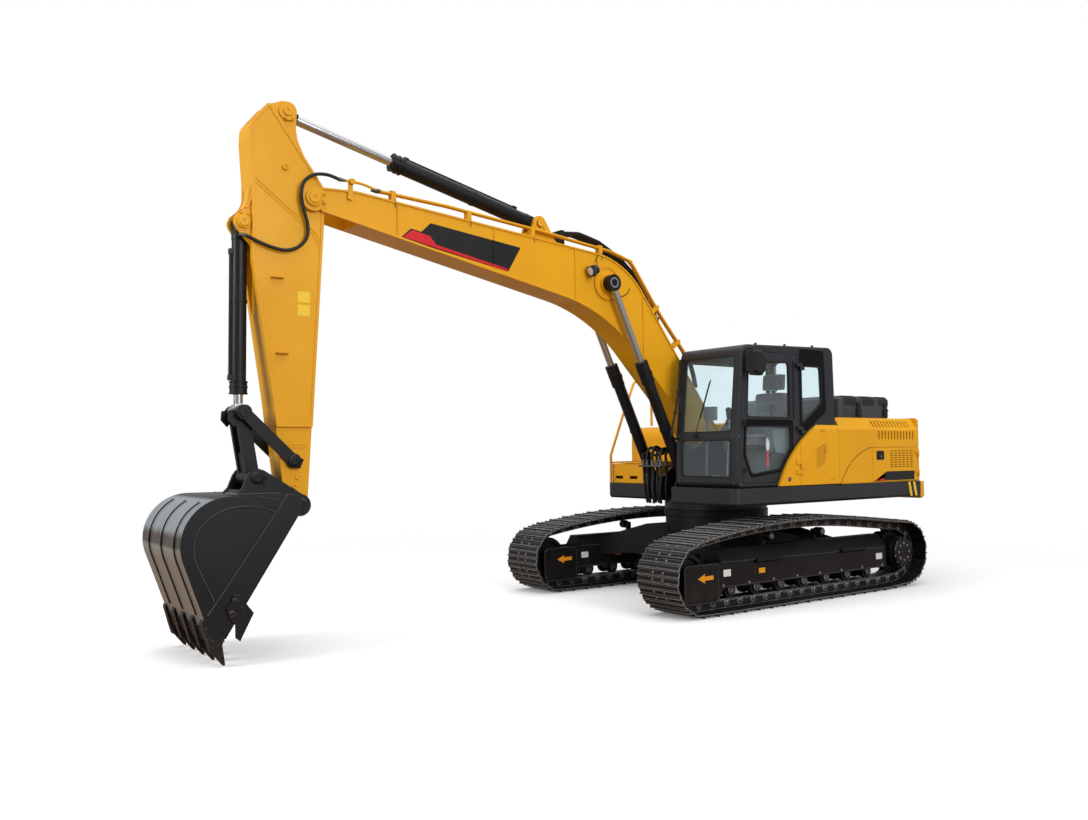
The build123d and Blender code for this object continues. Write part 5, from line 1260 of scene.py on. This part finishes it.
STUD = [(0, 0.024), (0.008, 0.024), (0.010, 0.015), (0.036, 0.015), (0.038, 0.010), (0.038, 0)]
piece_of("roof_studs", "upper", "black_paint", *[
    (turned, (x, 1.170, ROOF_HIGH - 0.042 * (x - ROOF_REAR) / (0.900 - ROOF_REAR) - 0.004), UP, STUD, 14)
    for x in (0.540, 0.040, -0.460)])
DOOR_LINE = ((0.940, 1.648), (0.905, 1.622), (0.845, 1.560), (0.800, 1.470), (0.770, 1.400))
piece_of("door_side_plug", "cab_door", "black_rubber",
         (button, (0.897, DOOR_FACE, 1.481), LEFT, 0.036, 0.034, 0.004, 24, (0.026, 0.024, 0.001)),
         (tube, [(x, 1.2950, z) for x, z in DOOR_LINE], 0.0035, 8))
RAIL = [
    (0.905, 0.386, 2.770), (0.948, 0.386, 2.745), (0.968, 0.386, 2.600), (0.990, 0.386, 2.400), (1.045, 0.386, 2.150),
    (1.105, 0.386, 1.950), (1.110, 0.386, 1.880), (1.070, 0.387, 1.850), (1.000, 0.388, 1.850),
]
piece_of("cab_grab_rail", "upper", "black_paint", (tube, RAIL, 0.013, 12),
         (sleeve, (0.988, RAIL_Y, 2.410), (0.04, 0, -0.10), 0.013, 0.020, 0.035, 14),
         (sleeve, (1.040, RAIL_Y, 2.165), (0.055, 0, -0.20), 0.013, 0.020, 0.035, 14),
         (tube, [(0.990, RAIL_Y, 2.395), (0.935, 0.390, 2.395)], 0.008, 8, 1))

# %% [markdown]
# Behind the glass the driver's place shows: two side consoles with joysticks in rubber
# boots, a tilted monitor, tall travel levers, and the lock lever in red and white.

# %% Cab: controls
SEAT_Y, CONSOLE, LEVER = 0.819, 0.330, 0.040  # the seat's middle, and how far out each pair stands
BOOT = [
    (0, 0.062), (0.012, 0.064), (0.020, 0.052), (0.032, 0.056), (0.040, 0.044), (0.052, 0.047), (0.060, 0.034),
    (0.075, 0.030), (0.085, 0.020), (0.085, 0),
]
GRIP = [
    (0, 0.025), (0.020, 0.029), (0.060, 0.032), (0.085, 0.029), (0.105, 0.035), (0.125, 0.034), (0.136, 0.024),
    (0.142, 0),
]
LEVER_GRIP = [(0, 0.014), (0.01, 0.020), (0.05, 0.022), (0.09, 0.018), (0.10, 0.008), (0.10, 0)]
piece_of("joystick_boots", "upper", "black_rubber", *[
    (turned, (0.250, SEAT_Y + side * CONSOLE, 2.004), (0.06, 0, 1), BOOT, 20) for side in (1, -1)])
piece_of("joystick_grips", "upper", "charcoal_paint", *[
    (turned, (0.252, SEAT_Y + side * CONSOLE, 2.082), (0.10, 0, 1), GRIP, 18) for side in (1, -1)])
bm = bmesh.new()
for side in (1, -1):
    y = SEAT_Y + side * LEVER
    turned(bm, (0.558, y, 2.060), (-0.08, 0, 1), LEVER_GRIP, 14)
    slab(bm, "X", oblong(y - 0.05, y + 0.05, 1.376, 1.400, 0.01, 4), 0.570, 0.680, 0.002)
add_piece("travel_lever_grips", "upper", "black_rubber", bm)
piece_of("monitor_screen", "upper", "screen",
         (slab, "X", oblong(0.412, 0.582, 2.072, 2.208, 0.012, 4), 0.5580, 0.5596, 0.0004), slot="black_rubber")
LOCK_RED = [(0.412, 1.520), (0.440, 1.516), (0.428, 1.700), (0.400, 1.706)]
LOCK_WHITE = [(0.396, 1.704), (0.430, 1.698), (0.440, 1.760), (0.425, 1.850), (0.385, 1.790)]
piece_of("lock_lever_red", "upper", "label_red", (slab, "Y", rounded(LOCK_RED, 0.010), 1.200, 1.214, 0.003),
         slot="yellow_paint")
piece_of("lock_lever_white", "upper", "label_white", (slab, "Y", rounded(LOCK_WHITE, 0.012), 1.200, 1.214, 0.003),
         slot="yellow_paint")
piece_of("lock_lever_stem", "upper", "black_rubber",
         (tube, [(0.400, 1.207, 1.640), (0.300, 1.195, 1.700), (0.250, 1.180, 1.820)], 0.010, 8))
print("cab dressed")

# %% [markdown]
# The seat is foam under woven cloth. Each cushion is grown from a block that is divided
# finely, crowned in its middle and pulled in along its sides, with sewn channels
# pressed into it. It takes the plain solid's place.

# %% Seat: crowned cushions with sewn channels
def cushion(name, low, high, lean=0.0, channels=(), crown=0.030):
    """A padded block between two corners, crowned on its face and sewn across."""
    bm = bmesh.new()
    bmesh.ops.create_cube(bm, size=1.0)
    bmesh.ops.subdivide_edges(bm, edges=bm.edges[:], cuts=22, use_grid_fill=True)
    low, high = Vector(low), Vector(high)
    size, middle = high - low, (high + low) / 2
    face = 2 if size.z < size.x else 0
    flat = [axis for axis in range(3) if axis != face]
    along = flat[0] if face == 2 else 2
    for v in bm.verts:
        p = v.co * 2
        edge = max(abs(p[flat[0]]), abs(p[flat[1]]))
        pull = 1.0 - 0.10 * (1.0 - abs(p[face]) ** 2) * edge ** 6
        near = 1.0
        for axis in range(3):
            near *= 1.0 - 0.10 * max(0.0, abs(p[axis]) - 0.55) ** 1.5
        q = Vector((p.x * size.x, p.y * size.y, p.z * size.z)) / 2 * near
        q[flat[0]] *= pull
        q[flat[1]] *= pull
        if p[face] > 0.2:
            dome = (1 - p[flat[0]] ** 2) * (1 - p[flat[1]] ** 2)
            q[face] += crown * dome * p[face] - crown * 0.6
            for at in channels:
                q[face] -= 0.014 * math.exp(-((p[along] - at) / 0.045) ** 2)
            for at in (-0.52, 0.52):
                q[face] -= 0.010 * math.exp(-((p[1] - at) / 0.035) ** 2)
        world = middle + q
        world.x -= lean * (world.z - low.z)
        v.co = place(*world)
    made = add_piece(name, "upper", "seat_fabric", bm, turn=60.0)
    smooth = made.modifiers.new("smooth", "SUBSURF")
    smooth.levels = smooth.render_levels = 1
    return made


seat = cushion("seat_cushion", (-0.100, 0.572, 1.762), (0.398, 1.066, 1.880), channels=(-0.35, 0.25))
cushion("seat_back", (-0.120, 0.584, 1.886), (0.004, 1.054, 2.400), lean=0.16, channels=(-0.45, 0.05, 0.55))
cushion("head_rest", (-0.205, 0.669, 2.412), (-0.115, 0.969, 2.612), lean=0.10, crown=0.016)
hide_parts("seat")
piece_of("head_rest_posts", "upper", "chrome_rod", *[
    (tube, [(-0.170, y, 2.360), (-0.180, y, 2.440)], 0.008, 8, 1) for y in (0.770, 0.868)])
piece_of("seat_pan", "upper", "black_rubber",
         (slab, "Y", oblong(-0.300, 0.390, 1.700, 1.765, 0.02, 4), 0.590, 1.048, 0.004))
print("seat dressed")

# %% [markdown]
# The floor is a wide pale sheet and the light is soft: a large lamp overhead, a wide one
# from the left and a weaker one in front, in a pale world, so that black steel still shows
# form. The yard that such a machine works in throws warm light back up. The floor does so
# too, although it looks pale.

# %% Floor, lights and camera
FLOOR_HALF = 60.0
floor_mesh = bpy.data.meshes.new("floor")
corners = [(FLOOR_HALF * x, FLOOR_HALF * y, 0) for x, y in ((-1, -1), (1, -1), (1, 1), (-1, 1))]
floor_mesh.from_pydata(corners, [], [(0, 1, 2, 3)])
floor = bpy.data.objects.new("floor", floor_mesh)
bpy.context.collection.objects.link(floor)
floor_paint, tree, shader = blank("floor_white")
direct = add_node(tree, "ShaderNodeLightPath").outputs["Is Camera Ray"]
feed(tree, shader, Base_Color=mix_colour(tree, direct, (0.27, 0.160, 0.100), (0.93, 0.93, 0.93)), Roughness=0.8,
     Emission_Color=(1.0, 1.0, 1.0, 1.0), Emission_Strength=mix_number(tree, direct, 0.0, 0.10))
far = add_node(tree, "ShaderNodeVectorMath", operation="LENGTH")
link(tree, object_place(tree), far.inputs[0])
fade = add_node(tree, "ShaderNodeMixShader")
link(tree, ramp(tree, far.outputs["Value"], 5.8, 9.5), fade.inputs["Fac"])
link(tree, shader.outputs["BSDF"], fade.inputs[1])
link(tree, add_node(tree, "ShaderNodeBsdfTransparent").outputs["BSDF"], fade.inputs[2])
link(tree, fade.outputs["Shader"], tree.nodes["Material Output"].inputs["Surface"])
floor_mesh.materials.append(floor_paint)

world = bpy.data.worlds.new("studio")
bpy.context.scene.world = world
world.use_nodes = True
tree = world.node_tree
rays = add_node(tree, "ShaderNodeLightPath").outputs
seen = calc(tree, "MAXIMUM", rays["Is Camera Ray"], rays["Is Transmission Ray"])
feed(tree, tree.nodes["Background"], Color=(1.0, 1.0, 1.0, 1.0), Strength=mix_number(tree, seen, 0.46, 1.0))
bpy.context.scene.view_settings.view_transform = "Standard"


def area_light(name, at, towards, size, watts):
    """A square soft lamp that looks at a point."""
    data = bpy.data.lights.new(name, "AREA")
    data.size, data.energy = size, watts
    lamp = bpy.data.objects.new(name, data)
    aim = Vector(towards) - Vector(at)
    lamp.matrix_world = Matrix.Translation(at) @ aim.to_track_quat("-Z", "Y").to_matrix().to_4x4()
    bpy.context.collection.objects.link(lamp)


area_light("overhead", (0, 0, 14), (0, 0, 0), 20, 1500)
area_light("side", (1, 21, 9), (0, 0, 2), 9, 2500)
area_light("front", (18, -2, 8), (0, 0, 2), 7, 1700)


def aim_camera(at, yaw, pitch, roll, lens):
    """A camera at a point, turned by yaw and pitch, and rolled about its own view."""
    data = bpy.data.cameras.new("camera")
    data.lens, data.sensor_width, data.clip_end = lens, 36.0, 500.0
    forward = Vector((math.cos(pitch) * math.cos(yaw), math.cos(pitch) * math.sin(yaw), math.sin(pitch)))
    right = forward.cross(Vector(UP)).normalized()
    up = right.cross(forward)
    turned_right = right * math.cos(roll) + up * math.sin(roll)
    turned_up = up * math.cos(roll) - right * math.sin(roll)
    view = Matrix((turned_right, turned_up, -forward)).transposed().to_4x4()
    made = bpy.data.objects.new("camera", data)
    made.matrix_world = Matrix.Translation(at) @ view
    bpy.context.collection.objects.link(made)
    bpy.context.scene.camera = made
    return made


camera = aim_camera(place(8.8434, 8.4134, 1.7212), -2.2054, 0.0427, -0.0102, 31.663)
print("camera at", tuple(round(v, 3) for v in camera.location))
